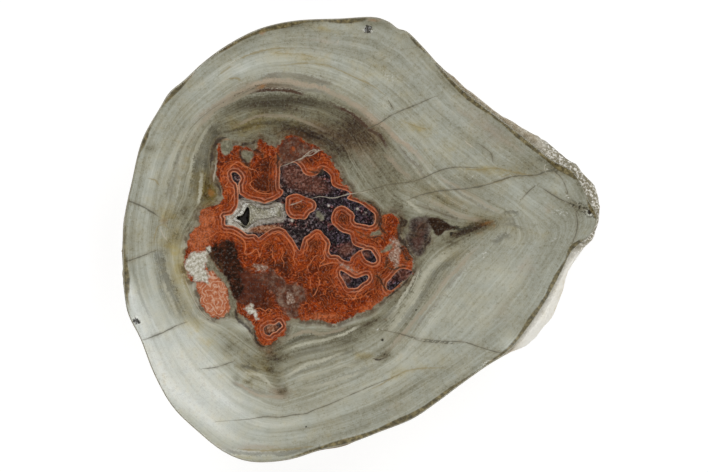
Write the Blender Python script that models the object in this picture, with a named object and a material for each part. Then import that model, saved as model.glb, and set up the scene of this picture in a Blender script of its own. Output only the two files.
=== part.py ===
# Polished agate: half of a banded nodule, cut and polished on top, with its
# natural rind below. It lies on a small ground spot, polished face up.
# Metres, +Z up. The origin is on that spot, below the middle of the face.

import math

import bmesh
import bpy
import numpy as np
from mathutils import Matrix, Vector

MM = 0.001

# Size of the half nodule
FACE_HEIGHT = 42.0 * MM
FULL_DEPTH = 44.5 * MM
ACROSS_POWER = 0.84
DEPTH_POWER = 0.92
FULLNESS = 2.0 * MM
EDGE_ROUND = 0.35 * MM

# Edge of the polished face, in mm, clockwise from its left end
FACE_EDGE = [
    (-59.3, -5), (-58.9, 5), (-57, 15), (-54.5, 25), (-50.1, 33), (-47.6, 37), (-44, 40),
    (-39, 44.6), (-32.7, 49.1), (-25, 52.9), (-16, 54.9), (-5, 55.4), (3, 55.8), (7, 54.7),
    (9.5, 52.9), (12, 52), (16, 48), (21, 42.4), (26, 37.5), (34, 31.2), (42, 25), (48, 20.1),
    (53.5, 17), (57, 10.5), (59.4, 5.5), (57.5, 1), (53.3, -2.6), (50.5, -8), (46.5, -15.5),
    (41, -23.5), (37, -28), (31, -32), (25, -36.3), (19, -40.8), (13, -44.8), (5, -48),
    (-3, -51), (-10, -52.6), (-18, -55), (-27, -55.5), (-34, -53), (-41, -47.5),
    (-47, -41.5), (-51.5, -33.5), (-54.8, -25), (-58.4, -17),
]

# Where the rind swells out past the face: direction, half width, reach and depth of its middle
SWELLINGS = [
    (math.radians(-21), math.radians(13), 4.6 * MM, 7.0 * MM),
    (math.radians(38), math.radians(18), 1.5 * MM, 3.5 * MM),
]

# Relief of the rind: broad lumps, knobs with creases between them, and shallow pits
LUMP_SIZE = 34 * MM
LUMP_HEIGHT = 1.7 * MM
KNOB_SIZE = 15 * MM
KNOB_HEIGHT = 1.1 * MM
PITS = 70
PIT_RADIUS = 2.6 * MM
PIT_DEPTH = 1.2 * MM
LUMPS_START = 14 * MM
KNOBS_START = 4 * MM
KEEL = (-4.0 * MM, -2.0 * MM)

# Small holes and chips, in mm: place on the face, radius, and how far below the face its middle is
HOLES = [(1.9, 52.7, 0.75, 0.1), (-55.9, -20.2, 0.7, 0.2), (57.6, 7.0, 0.6, 0.1)]
CHIPS = [(10.0, 54.2, 2.2, 0.3), (-49.4, 37.6, 2.0, 0.2), (32.5, -31.9, 1.5, 0.3)]

# Crystal pocket: its edge in mm, clockwise from the left, and the place of its deepest point
POCKET_EDGE = [
    (-33.2, 5.2), (-31.6, 6.7), (-30.3, 8.2), (-28.9, 9.8), (-26.3, 9.3), (-23.8, 8.5),
    (-21.2, 9.1), (-19.6, 7.6), (-19.5, 5.3), (-22.0, 4.4), (-25.2, 3.8), (-27.6, 2.4),
    (-29.6, 3.4), (-32.0, 4.0),
]
POCKET_EYE = (-29.0, 5.4)
POCKET_DEPTH = 9.0 * MM
DRUSE_DEPTH = 6.4 * MM
CRUST_GAP = 0.35 * MM
CRUST_LIP = 0.25 * MM
CRUST_TOP = 0.1 * MM
CRYSTAL_SPACING = 1.12 * MM
CRYSTAL_RADIUS = 0.8 * MM
CRYSTAL_HEIGHT = 1.4 * MM
CRYSTAL_RISE = 0.28

# Fineness of the solids
STONE_AROUND = 120
STONE_RINGS = 24
POCKET_AROUND = 30
POCKET_RINGS = 6


def clear_scene():
    for item in list(bpy.data.objects):
        bpy.data.objects.remove(item, do_unlink=True)


def make_collection(name):
    collection = bpy.data.collections.new(name)
    bpy.context.scene.collection.children.link(collection)
    return collection


def make_material(name, colour, roughness):
    material = bpy.data.materials.new(name)
    material.use_nodes = True
    shader = material.node_tree.nodes["Principled BSDF"]
    shader.inputs["Base Color"].default_value = (*colour, 1.0)
    shader.inputs["Roughness"].default_value = roughness
    shader.inputs["Metallic"].default_value = 0.0
    return material


def smoothstep(low, high, value):
    share = np.clip((value - low) / (high - low), 0.0, 1.0)
    return share * share * (3.0 - 2.0 * share)


def closed_curve(points, steps=12):
    """A smooth closed curve through points given in mm, as an array in metres."""
    here = np.array(points, float) * MM
    before = np.roll(here, 1, axis=0)
    after = np.roll(here, -1, axis=0)
    beyond = np.roll(here, -2, axis=0)
    share = np.linspace(0.0, 1.0, steps, endpoint=False)[None, :, None]
    here = here[:, None]
    before = before[:, None]
    after = after[:, None]
    beyond = beyond[:, None]
    bend = 2 * before - 5 * here + 4 * after - beyond
    twist = 3 * (here - after) + beyond - before
    curve = here + 0.5 * share * (after - before + share * (bend + share * twist))
    return curve.reshape(-1, 2)


def reach_by_direction(points, middle=(0.0, 0.0)):
    """How far a closed curve lies from a middle (metres), as a function of the direction."""
    offset = closed_curve(points) - np.array(middle)
    direction = np.arctan2(offset[:, 1], offset[:, 0])
    reach = np.hypot(offset[:, 0], offset[:, 1])
    order = np.argsort(direction)

    def reach_at(angle):
        return np.interp(angle, direction[order], reach[order], period=2 * math.pi)

    return reach_at


def waves(places, size, count, seed):
    """A smooth field over space, about -1.5 to 1.5: plane waves of about one size, added up."""
    chance = np.random.default_rng(seed)
    heading = chance.normal(size=(count, 3))
    heading /= np.linalg.norm(heading, axis=1, keepdims=True)
    length = size * chance.uniform(0.7, 1.5, count)
    phase = chance.uniform(0.0, 2.0 * math.pi, count)
    turns = places @ (heading * 2.0 * math.pi / length[:, None]).T + phase
    return np.sin(turns).sum(axis=1) * math.sqrt(2.0 / count)


def rind_shape(directions, face_reach):
    """The rind without relief, for directions of a sphere's lower half."""
    angle = np.arctan2(directions[:, 1], directions[:, 0])
    level = np.hypot(directions[:, 0], directions[:, 1]).clip(0.0, 1.0)
    depth = FULL_DEPTH * (-directions[:, 2]).clip(0.0, 1.0) ** DEPTH_POWER
    fullness = FULLNESS * smoothstep(0.0, LUMPS_START, depth)
    reach = (face_reach(angle) + fullness) * level ** ACROSS_POWER
    for middle, width, swell, swell_depth in SWELLINGS:
        turn = np.remainder(angle - middle + math.pi, 2.0 * math.pi) - math.pi
        drop = depth / swell_depth
        reach += swell * np.exp(-((turn / width) ** 2)) * drop * np.exp(1.0 - drop)
    sunk = (depth / FULL_DEPTH) ** 2
    x = reach * np.cos(angle) + KEEL[0] * sunk
    y = reach * np.sin(angle) + KEEL[1] * sunk
    return np.stack([x, y, FACE_HEIGHT - depth], axis=1)


def rind_relief(places, level, face_reach):
    """How far the rind is drawn in: lumps, knobs and pits, all inwards, none at the edges."""
    depth = FACE_HEIGHT - places[:, 2]
    lumps = LUMP_HEIGHT * (1.2 + waves(places, LUMP_SIZE, 9, 11)).clip(0.0)
    knobs = KNOB_HEIGHT * np.abs(waves(places, KNOB_SIZE, 12, 12))
    relief = lumps * smoothstep(0.0, LUMPS_START, depth) + knobs * smoothstep(0.0, KNOBS_START, depth)
    chance = np.random.default_rng(13)
    heading = chance.normal(size=(PITS, 3))
    heading[:, 2] = -np.abs(heading[:, 2])
    heading /= np.linalg.norm(heading, axis=1, keepdims=True)
    radius = PIT_RADIUS * chance.uniform(0.7, 1.4, PITS)
    for middle, wide in zip(rind_shape(heading, face_reach), radius):
        away = np.linalg.norm(places - middle, axis=1) / wide
        relief += PIT_DEPTH * np.exp(-(away ** 3)) * smoothstep(0.0, KNOBS_START, depth)
    return relief * smoothstep(0.15, 0.55, level)


def rind_places(directions, face_reach):
    """Where points of a unit sphere's lower half go on the half nodule."""
    places = rind_shape(directions, face_reach)
    inward = np.array([0.0, 0.0, FACE_HEIGHT]) - places
    inward /= np.linalg.norm(inward, axis=1, keepdims=True).clip(1e-9)
    level = np.hypot(directions[:, 0], directions[:, 1])
    return places + inward * rind_relief(places, level, face_reach)[:, None]


def make_stone(collection):
    """The half nodule: a sphere's lower half, shaped, closed on top and ground flat below."""
    bm = bmesh.new()
    bmesh.ops.create_uvsphere(bm, u_segments=STONE_AROUND, v_segments=2 * STONE_RINGS, radius=1.0)
    upper = [vertex for vertex in bm.verts if vertex.co.z > 0.5 / STONE_RINGS]
    bmesh.ops.delete(bm, geom=upper, context="VERTS")
    directions = np.array([vertex.co for vertex in bm.verts])
    places = rind_places(directions, reach_by_direction(FACE_EDGE))
    for vertex, place in zip(bm.verts, places):
        vertex.co = place
    open_edges = [edge for edge in bm.edges if edge.is_boundary]
    bmesh.ops.holes_fill(bm, edges=open_edges)
    rim = [edge for edge in bm.edges if all(v.co.z > FACE_HEIGHT - 1e-6 for v in edge.verts)]
    bmesh.ops.bevel(bm, geom=rim, offset=EDGE_ROUND, segments=1, affect="EDGES")
    everything = bm.verts[:] + bm.edges[:] + bm.faces[:]
    bmesh.ops.bisect_plane(
        bm, geom=everything, plane_co=(0, 0, 0), plane_no=(0, 0, 1), clear_inner=True
    )
    ground_edges = [edge for edge in bm.edges if edge.is_boundary]
    bmesh.ops.holes_fill(bm, edges=ground_edges)
    bmesh.ops.recalc_face_normals(bm, faces=bm.faces)
    mesh = bpy.data.meshes.new("stone")
    bm.to_mesh(mesh)
    bm.free()
    stone = bpy.data.objects.new("stone", mesh)
    collection.objects.link(stone)
    return stone


POCKET_REACH = reach_by_direction(POCKET_EDGE, np.array(POCKET_EYE) * MM)


def pocket_depth(level):
    """Depth of the pocket's wall, from its edge (level 1) to its deepest point (level 0)."""
    return POCKET_DEPTH * (1.0 - level ** 2) ** 0.55


def druse_depth(level):
    """Depth of the surface that the crystals stand on, from the edge to the deepest point."""
    return DRUSE_DEPTH * (1.0 - level) ** 1.5


def pocket_place(angle, level, inset, depth):
    """A place in the pocket, by direction from its deepest point and share of the way out."""
    eye = np.array(POCKET_EYE) * MM
    reach = (POCKET_REACH(angle) - inset) * level
    x = eye[0] + reach * math.cos(angle)
    y = eye[1] + reach * math.sin(angle)
    return Vector((x, y, FACE_HEIGHT - depth))


def shaped_ball(name, lower_place, upper_place, collection):
    """A ball whose lower and upper halves are each moved by a function of angle and level."""
    bm = bmesh.new()
    bmesh.ops.create_uvsphere(bm, u_segments=POCKET_AROUND, v_segments=2 * POCKET_RINGS, radius=1.0)
    for vertex in bm.verts:
        angle = math.atan2(vertex.co.y, vertex.co.x)
        level = min(math.hypot(vertex.co.x, vertex.co.y), 1.0)
        if vertex.co.z < 1e-4:
            vertex.co = lower_place(angle, level)
        else:
            vertex.co = upper_place(angle, level)
    bmesh.ops.triangulate(bm, faces=bm.faces)
    bmesh.ops.recalc_face_normals(bm, faces=bm.faces)
    mesh = bpy.data.meshes.new(name)
    bm.to_mesh(mesh)
    bm.free()
    ball = bpy.data.objects.new(name, mesh)
    collection.objects.link(ball)
    return ball


def make_pocket_cutter(collection):
    """The pocket as a solid that stands a little proud of the face."""

    def wall(angle, level):
        return pocket_place(angle, level, 0.0, pocket_depth(level))

    def lid(angle, level):
        return pocket_place(angle, level, 0.0, -1.5 * MM * (1.0 - level ** 2))

    return shaped_ball("pocket_cutter", wall, lid, collection)


def make_crust(collection):
    """The crust on the pocket's wall: its back follows the wall and its front the druse."""

    def back(angle, level):
        depth = CRUST_LIP + pocket_depth(level) - pocket_depth(0.98) * smoothstep(0.9, 1.0, level)
        return pocket_place(angle, level, CRUST_GAP, max(depth - CRUST_GAP, CRUST_LIP))

    def front(angle, level):
        return pocket_place(angle, level, CRUST_GAP, CRUST_LIP + druse_depth(level))

    return shaped_ball("quartz_crust", back, front, collection)


def crystal_feet():
    """Places for crystals: a lattice over the pocket, each place shifted a little."""
    chance = np.random.default_rng(21)
    eye = np.array(POCKET_EYE) * MM
    edge = np.array(POCKET_EDGE) * MM
    low = edge.min(axis=0)
    high = edge.max(axis=0)
    row_step = CRYSTAL_SPACING * math.sqrt(0.75)
    feet = []
    for row, y in enumerate(np.arange(low[1], high[1], row_step)):
        for x in np.arange(low[0] + CRYSTAL_SPACING * 0.5 * (row % 2), high[0], CRYSTAL_SPACING):
            place = np.array([x, y]) + chance.normal(size=2) * 0.14 * CRYSTAL_SPACING - eye
            angle = math.atan2(place[1], place[0])
            level = float(np.hypot(*place) / (POCKET_REACH(angle) - CRUST_GAP))
            if 0.12 < level < 0.93:
                feet.append((angle, level))
    return feet


def make_crystals(collection):
    """Six-sided points that stand out of the druse, leaning in towards its deepest point."""
    chance = np.random.default_rng(22)
    bm = bmesh.new()
    for angle, level in crystal_feet():
        foot = pocket_place(angle, level, CRUST_GAP, CRUST_LIP + druse_depth(level))
        lean = Vector((-math.cos(angle), -math.sin(angle), 0.0)) * (0.9 - 0.6 * level)
        upright = (Vector((0.0, 0.0, 1.0)) + lean + Vector(chance.normal(size=3) * 0.2)).normalized()
        growth = chance.uniform(0.75, 1.25)
        height = CRYSTAL_HEIGHT * growth
        turn = upright.to_track_quat("Z", "X").to_matrix().to_4x4()
        spin = Matrix.Rotation(chance.uniform(0.0, math.pi), 4, "Z")
        bmesh.ops.create_cone(
            bm,
            cap_ends=True,
            segments=6,
            radius1=CRYSTAL_RADIUS * growth,
            radius2=0.0,
            depth=height,
            matrix=Matrix.Translation(foot + upright * CRYSTAL_RISE * height) @ turn @ spin,
        )
    mesh = bpy.data.meshes.new("crystals")
    bm.to_mesh(mesh)
    bm.free()
    crystals = bpy.data.objects.new("crystals", mesh)
    collection.objects.link(crystals)
    return crystals


def make_crust_envelope(collection):
    """What the crystals may fill: the pocket less the gap, up to just under the face."""

    def wall(angle, level):
        depth = pocket_depth(level) - CRUST_GAP
        return pocket_place(angle, level, CRUST_GAP, max(depth, CRUST_TOP))

    def lid(angle, level):
        return pocket_place(angle, level, CRUST_GAP, CRUST_TOP)

    return shaped_ball("crust_envelope", wall, lid, collection)


def make_ball_cutter(name, x, y, radius, sunk, collection):
    """A ball that takes a small hole or a chip out of the face."""
    bm = bmesh.new()
    bmesh.ops.create_icosphere(bm, subdivisions=2, radius=radius * MM)
    turn = Matrix.Rotation(0.37, 4, "X")
    bmesh.ops.transform(bm, matrix=turn, verts=bm.verts)
    mesh = bpy.data.meshes.new(name)
    bm.to_mesh(mesh)
    bm.free()
    ball = bpy.data.objects.new(name, mesh)
    ball.location = (x * MM, y * MM, FACE_HEIGHT - sunk * MM)
    collection.objects.link(ball)
    return ball


def hide_cutter(cutter):
    cutter.hide_render = True
    cutter.display_type = "WIRE"


def add_boolean(piece, operand, operation, use_self=False):
    modifier = piece.modifiers.new(operand.name, "BOOLEAN")
    modifier.operation = operation
    modifier.solver = "EXACT"
    modifier.use_self = use_self
    modifier.object = operand


clear_scene()
parts = make_collection("polished_agate")
cutters = make_collection("cutters")

stone = make_stone(parts)
stone.data.materials.append(make_material("banded_stone", (0.30, 0.285, 0.23), 0.25))
pocket_cutter = make_pocket_cutter(cutters)
hide_cutter(pocket_cutter)
add_boolean(stone, pocket_cutter, "DIFFERENCE")
for number, (x, y, radius, sunk) in enumerate(HOLES + CHIPS, start=1):
    cutter = make_ball_cutter(f"hole_cutter_{number}", x, y, radius, sunk, cutters)
    hide_cutter(cutter)
    add_boolean(stone, cutter, "DIFFERENCE")

crust = make_crust(parts)
crust.data.materials.append(make_material("white_quartz", (0.62, 0.59, 0.51), 0.3))
crystals = make_crystals(cutters)
envelope = make_crust_envelope(cutters)
for guide in (crystals, envelope):
    hide_cutter(guide)
add_boolean(crust, crystals, "UNION", use_self=True)
add_boolean(crust, envelope, "INTERSECT")
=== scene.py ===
# %% [markdown]
# # A polished agate nodule half
# The real object is one piece of stone: a rounded nodule, sawn through and polished on the cut.
# The cut shows grey bands that follow one another inwards, and in the middle a red core of
# lace-like lines round dark quartz, with one open pocket that is lined with white crystals.
# The nodule's natural rind makes up the sides and the underside.
#
# The packed model gives the size, the outline and where everything lies. This script gives the
# stone its looks: a finer surface, and materials whose markings are worked out from formulas.

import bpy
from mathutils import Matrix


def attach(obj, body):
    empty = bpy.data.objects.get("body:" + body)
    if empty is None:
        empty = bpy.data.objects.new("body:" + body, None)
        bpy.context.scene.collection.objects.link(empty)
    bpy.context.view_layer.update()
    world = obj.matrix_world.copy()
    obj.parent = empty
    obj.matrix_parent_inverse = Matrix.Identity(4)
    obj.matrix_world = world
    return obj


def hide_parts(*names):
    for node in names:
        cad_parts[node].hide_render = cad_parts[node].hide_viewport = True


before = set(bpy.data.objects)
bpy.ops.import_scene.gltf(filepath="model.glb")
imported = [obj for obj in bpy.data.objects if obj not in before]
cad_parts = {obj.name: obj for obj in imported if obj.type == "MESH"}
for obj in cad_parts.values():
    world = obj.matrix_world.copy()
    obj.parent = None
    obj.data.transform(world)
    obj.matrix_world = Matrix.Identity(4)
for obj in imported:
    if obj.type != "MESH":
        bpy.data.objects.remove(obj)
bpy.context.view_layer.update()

# %% Tools from the library
import math

import bpy
import numpy as np

MM = 0.001

# %% [markdown]
# ## Lines through a few points
# Every marking starts as a line read off the stone: the edge of the core, the edge of a quartz
# window, a crack. Straight pieces between points would look cut out with scissors, and a fine
# point list would be tiresome to type. So each line has a few points, and a Catmull-Rom curve
# runs smoothly through them. All lines are in millimetres, seen from above.

# %% A smooth line
def smooth_line(numbers, closed=True, steps=4):
    """A curve through points given as x, y, x, y. Between two points it is the cubic that passes
    through both and leaves each in the direction of the line between its neighbours."""
    points = np.array(numbers, float).reshape(-1, 2)
    if closed:
        before, here = np.roll(points, 1, axis=0), points
        after, beyond = np.roll(points, -1, axis=0), np.roll(points, -2, axis=0)
    else:
        longer = np.concatenate([points[:1], points, points[-1:]])
        before, here, after, beyond = longer[:-3], longer[1:-2], longer[2:-1], longer[3:]
    share = np.linspace(0.0, 1.0, steps, endpoint=False)[None, :, None]
    before, here, after, beyond = before[:, None], here[:, None], after[:, None], beyond[:, None]
    bend = 2 * before - 5 * here + 4 * after - beyond
    twist = 3 * (here - after) + beyond - before
    curve = (here + 0.5 * share * (after - before + share * (bend + share * twist))).reshape(-1, 2)
    return curve if closed else np.concatenate([curve, points[-1:]])


print("four points become", len(smooth_line([0, 0, 1, 0, 1, 1, 0, 1])))

# %% The edge of the polished face
FACE_HEIGHT = 42.0
FACE_EDGE = [
    -59.3,-5, -58.9,5, -57,15, -54.5,25, -50.1,33, -47.6,37, -44,40, -39,44.6, -32.7,49.1, -25,52.9,
    -16,54.9, -5,55.4, 3,55.8, 7,54.7, 9.5,52.9, 12,52, 16,48, 21,42.4, 26,37.5, 34,31.2, 42,25,
    48,20.1, 53.5,17, 57,10.5, 59.4,5.5, 57.5,1, 53.3,-2.6, 50.5,-8, 46.5,-15.5, 41,-23.5, 37,-28,
    31,-32, 25,-36.3, 19,-40.8, 13,-44.8, 5,-48, -3,-51, -10,-52.6, -18,-55, -27,-55.5, -34,-53,
    -41,-47.5, -47,-41.5, -51.5,-33.5, -54.8,-25, -58.4,-17,
]


def reach_round(line, middle):
    """How far a closed line lies from a middle, as a function of the direction."""
    offset = line - np.array(middle, float)
    direction = np.arctan2(offset[:, 1], offset[:, 0])
    order = np.argsort(direction)
    distance = np.hypot(offset[:, 0], offset[:, 1])

    def reach(angle):
        return np.interp(angle, direction[order], distance[order], period=2 * math.pi)

    return reach


edge_line = smooth_line(FACE_EDGE, steps=12)
print("the face measures", np.ptp(edge_line, axis=0).round(1), "mm")

# %% [markdown]
# ## The shape of the rind
# Below the polished face the nodule is as it grew: a deep bowl with broad lumps, knobs with
# creases between them, and pits. The packed solid has this shape already, in coarse facets. The
# same formulas are used again here on a finer grid, so that both lie in the same place, and
# some smaller waves are added that the facets are too coarse to carry.

# %% The bowl
FULL_DEPTH, ACROSS_POWER, DEPTH_POWER = 44.5, 0.84, 0.92
FULLNESS, LUMPS_START, KNOBS_START = 2.0, 14.0, 4.0
SWELLINGS = [   # direction and spread in degrees, how far out and how deep down in mm
    (-21, 13, 4.6, 7.0), (38, 18, 1.5, 3.5), (28, 6.5, 1.8, 2.0), (22.5, 4, 1.8, 2.0),
    (12.6, 5.4, 4.0, 2.0), (58, 9, 0.7, 2.5), (179, 14, 0.5, 2.5), (-96, 4, 0.7, 2.5),
    (-2.5, 4.5, 2.1, 2.0),
]
KEEL = (-4.0, -2.0)
face_reach = reach_round(edge_line, (0, 0))


def smoothstep(low, high, value):
    """0 up to low, 1 from high on, and between them a curve that leaves both without a corner."""
    share = np.clip((value - low) / (high - low), 0.0, 1.0)
    return share * share * (3.0 - 2.0 * share)


def turned_from(angle, middle):
    """How far angles are turned from a middle one, which is given in degrees."""
    return np.remainder(angle - math.radians(middle) + math.pi, 2.0 * math.pi) - math.pi


def bowl(directions):
    """Places for directions of a ball's lower half: outwards the face's reach times a power of the
    ball's width, and downwards a power of its depth, with swellings beside the edge."""
    angle = np.arctan2(directions[:, 1], directions[:, 0])
    width = np.hypot(directions[:, 0], directions[:, 1]).clip(0.0, 1.0)
    depth = FULL_DEPTH * (-directions[:, 2]).clip(0.0, 1.0) ** DEPTH_POWER
    reach = (face_reach(angle) + FULLNESS * smoothstep(0.0, LUMPS_START, depth)) * width ** ACROSS_POWER
    for middle, spread, swell, swell_depth in SWELLINGS:
        turn = turned_from(angle, middle) / math.radians(spread)
        drop = depth / swell_depth
        reach += swell * np.exp(-(turn ** 2)) * drop * np.exp(1.0 - drop)
    sunk = (depth / FULL_DEPTH) ** 2
    across = reach[:, None] * np.stack([np.cos(angle), np.sin(angle)], axis=1) + sunk[:, None] * KEEL
    return np.column_stack([across, FACE_HEIGHT - depth])


print("the bowl's lowest place is", bowl(np.array([[0.0, 0.0, -1.0]]))[0].round(1), "mm")

# %% The lumps, knobs and pits
def waves(places, size, count, seed):
    """A smooth field over space: plane waves of about one size in seeded directions, added up."""
    chance = np.random.default_rng(seed)
    heading = chance.normal(size=(count, 3))
    heading /= np.linalg.norm(heading, axis=1, keepdims=True)
    length = size * chance.uniform(0.7, 1.5, count)
    phase = chance.uniform(0.0, 2.0 * math.pi, count)
    turns = places @ (heading * 2.0 * math.pi / length[:, None]).T + phase
    return np.sin(turns).sum(axis=1) * math.sqrt(2.0 / count)


LUMP_DEPTH = 1.7
KNOBS = ((1.1, 15.0, 12, 12), (0.22, 4.5, 14, 31), (0.12, 2.2, 16, 32))   # depth, size, waves, seed
PIT_COUNT, PIT_RADIUS, PIT_DEPTH = 70, 2.6, 1.2
SMOOTH_SHARE, SMOOTH_SPREAD = 0.75, 0.36


def relief(places, width):
    """How far the rind is drawn in: where waves are high, along the creases where they cross zero,
    and in round pits that fade with the cube of the distance. It starts from nothing at the edge,
    and is smoother on the largest swelling."""
    depth = FACE_HEIGHT - places[:, 2]
    drawn = LUMP_DEPTH * (1.2 + waves(places, 34.0, 9, 11)).clip(0.0) * smoothstep(0.0, LUMPS_START, depth)
    rough = sum(deep * np.abs(waves(places, size, count, seed)) for deep, size, count, seed in KNOBS)
    turn = turned_from(np.arctan2(places[:, 1], places[:, 0]), SWELLINGS[0][0])
    rough *= 1.0 - SMOOTH_SHARE * np.exp(-((turn / SMOOTH_SPREAD) ** 4)) * smoothstep(20.0, 10.0, depth)
    chance = np.random.default_rng(13)
    heading = chance.normal(size=(PIT_COUNT, 3))
    heading[:, 2] = -np.abs(heading[:, 2])
    heading /= np.linalg.norm(heading, axis=1, keepdims=True)
    size = PIT_RADIUS * chance.uniform(0.7, 1.4, PIT_COUNT)
    for middle, radius in zip(bowl(heading), size):
        rough += PIT_DEPTH * np.exp(-((np.linalg.norm(places - middle, axis=1) / radius) ** 3))
    return (drawn + rough * smoothstep(0.0, KNOBS_START, depth)) * smoothstep(0.15, 0.55, width)


print("waves at three places:", waves(np.eye(3) * 50.0, 15.0, 12, 12).round(2))

# %% [markdown]
# ## The grid over the whole stone
# One grid covers the stone: spokes that start in the middle of the core, run out over the face,
# turn over the edge and go down the rind to the ground spot. The rings lie closest together over
# the core, where the markings are finest. Another way is to cut many loops into the packed solid,
# but its facets would stay. A grid of our own also gives each marking a clear way to be stored.

# %% Spokes and rings
CORE = np.array([-15.0, 1.0])
SPOKES, CORE_RINGS, OUTER_RINGS, EDGE_RINGS, RIND_RINGS = 448, 100, 64, 4, 48
CORE_REACH, EDGE_ROUND = 27.6, 0.35
spoke = np.linspace(0.0, 2.0 * math.pi, SPOKES, endpoint=False)
outward = np.stack([np.cos(spoke), np.sin(spoke)], axis=1)
rim_reach = reach_round(edge_line, CORE)(spoke)
rim = CORE + rim_reach[:, None] * outward
rim_angle = np.arctan2(rim[:, 1], rim[:, 0])


def face_rings():
    """Rings on the face: even steps to the core's reach, then a share of the way to the edge."""
    inner = np.linspace(0.0, CORE_REACH, CORE_RINGS + 1)[1:, None] * np.ones(SPOKES)
    share = np.linspace(0.0, 1.0, OUTER_RINGS + 1)[1:, None]
    outer = CORE_REACH + share * (rim_reach - EDGE_ROUND - CORE_REACH)
    reach = np.concatenate([inner, outer])
    flat = CORE + reach[:, :, None] * outward
    return np.concatenate([flat, np.full((*reach.shape, 1), FACE_HEIGHT)], axis=2)


def edge_rings():
    """Rings on a quarter circle that turns the face over into the rind."""
    turn = np.linspace(0.0, math.pi / 2, EDGE_RINGS + 1)[1:, None]
    reach = rim_reach - EDGE_ROUND * (1.0 - np.sin(turn))
    height = FACE_HEIGHT - EDGE_ROUND * (1.0 - np.cos(turn)) * np.ones(SPOKES)
    return np.concatenate([CORE + reach[:, :, None] * outward, height[:, :, None]], axis=2)


def rind_rings():
    """Rings down the bowl, drawn in by the relief and cut off flat at the ground."""
    fall = (np.linspace(0.012, 1.0, RIND_RINGS) ** 1.15 * math.pi / 2)[:-1]
    level, drop = np.cos(fall)[:, None], -np.sin(fall)[:, None] * np.ones(SPOKES)
    towards = np.stack([level * np.cos(rim_angle), level * np.sin(rim_angle), drop], axis=2).reshape(-1, 3)
    places = bowl(towards)
    inward = np.array([0.0, 0.0, FACE_HEIGHT]) - places
    inward /= np.linalg.norm(inward, axis=1, keepdims=True)
    width = np.hypot(towards[:, 0], towards[:, 1])
    places += inward * relief(places, width)[:, None]
    places[:, 2] = places[:, 2].clip(0.0)
    return places.reshape(-1, SPOKES, 3)


rings = np.concatenate([face_rings(), edge_rings(), rind_rings()])
FACE_RINGS = CORE_RINGS + OUTER_RINGS
print("the stone's grid has", rings.shape[0], "rings of", rings.shape[1])

# %% [markdown]
# ## Holes, chips and the open pocket
# Three small holes and three chips show at the edge of the face. Each is sunk into the grid as a
# round dish. A steeper wall would show the steps of the grid. The pocket is sunk by how far a
# point lies inside its edge. The white crystals cover its wall.

# %% The pocket's edges
WHITE_EDGE = [
    -32.6,5.3, -31.7,6.3, -30.9,7.2, -30.2,8.3, -29.9,9.4, -28.6,9.8, -27.5,9.6, -26.3,9.2, -25.2,8.7,
    -23.8,8.4, -22.4,8.6, -21,9, -20,8.6, -19.6,7.5, -19.3,6.2, -19.6,5.2, -20.8,5.3, -22,5, -23.4,4.7,
    -25.2,4.4, -26.4,3.8, -27.4,3, -28.3,2.9, -28.8,3.4, -30.2,3.9, -31.3,4, -32.2,4.4,
]
HOLE_EDGE = [
    -30.9,5.3, -30.7,5.9, -30,6, -29.4,6.4, -28.9,7.2, -28.3,8.2, -27.8,7.9, -27.7,6.6, -27.8,5.4,
    -27.8,4.8, -28.2,4, -28.7,3.5, -29.3,3.9, -29.8,4.6, -30.3,5,
]
print("points of the white edge:", len(WHITE_EDGE) // 2, " of the hole:", len(HOLE_EDGE) // 2)

# %% Distances to lines
PAIRS_AT_ONCE = 4_000_000


def nearest(places, starts, ends):
    """For each place: the distance to the nearest of many straight pieces, on which side of that
    piece it lies, and what share of all the pieces comes before its foot. The foot's own share of
    a piece is kept between 0 and 1."""
    way = ends - starts
    length = (way ** 2).sum(axis=1).clip(1e-12)
    found, side, along = [], [], []
    for some in np.array_split(places.astype(np.float32), 1 + len(places) * len(starts) // PAIRS_AT_ONCE):
        offset = some[:, None] - starts.astype(np.float32)
        share = ((offset * way).sum(axis=2) / length).clip(0.0, 1.0)
        away = offset - share[:, :, None] * way
        square = (away ** 2).sum(axis=2)
        pick = square.argmin(axis=1)
        row = np.arange(len(some))
        cross = way[pick, 0] * offset[row, pick, 1] - way[pick, 1] * offset[row, pick, 0]
        found.append(np.sqrt(square[row, pick]))
        side.append(np.where(cross < 0.0, -1.0, 1.0))
        along.append((pick + share[row, pick]) / len(starts))
    return np.concatenate(found), np.concatenate(side), np.concatenate(along)


def pieces_of(lines, closed=True):
    """The straight pieces of one or more lines, as their starts and their ends."""
    if closed:
        return np.concatenate(lines), np.concatenate([np.roll(line, -1, axis=0) for line in lines])
    return np.concatenate([line[:-1] for line in lines]), np.concatenate([line[1:] for line in lines])


def inside(places, lines):
    """Whether a place lies inside: a ray to its right then crosses the lines an odd number of times."""
    starts, ends = pieces_of(lines)
    result = []
    for some in np.array_split(places, 1 + len(places) * len(starts) // PAIRS_AT_ONCE):
        x, y = some[:, :1], some[:, 1:]
        spans = (starts[:, 1] > y) != (ends[:, 1] > y)
        rise = np.where(ends[:, 1] == starts[:, 1], 1.0, ends[:, 1] - starts[:, 1])
        meets = starts[:, 0] + (y - starts[:, 1]) / rise * (ends[:, 0] - starts[:, 0])
        result.append((spans & (meets > x)).sum(axis=1) % 2 == 1)
    return np.concatenate(result)


def depth_inside(places, lines):
    """How far a place lies inside closed lines, in mm. Outside it is less than nothing."""
    return nearest(places, *pieces_of(lines))[0] * np.where(inside(places, lines), 1.0, -1.0)


print("the core's middle lies", depth_inside(CORE[None], [edge_line])[0].round(1), "mm inside the edge")

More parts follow.
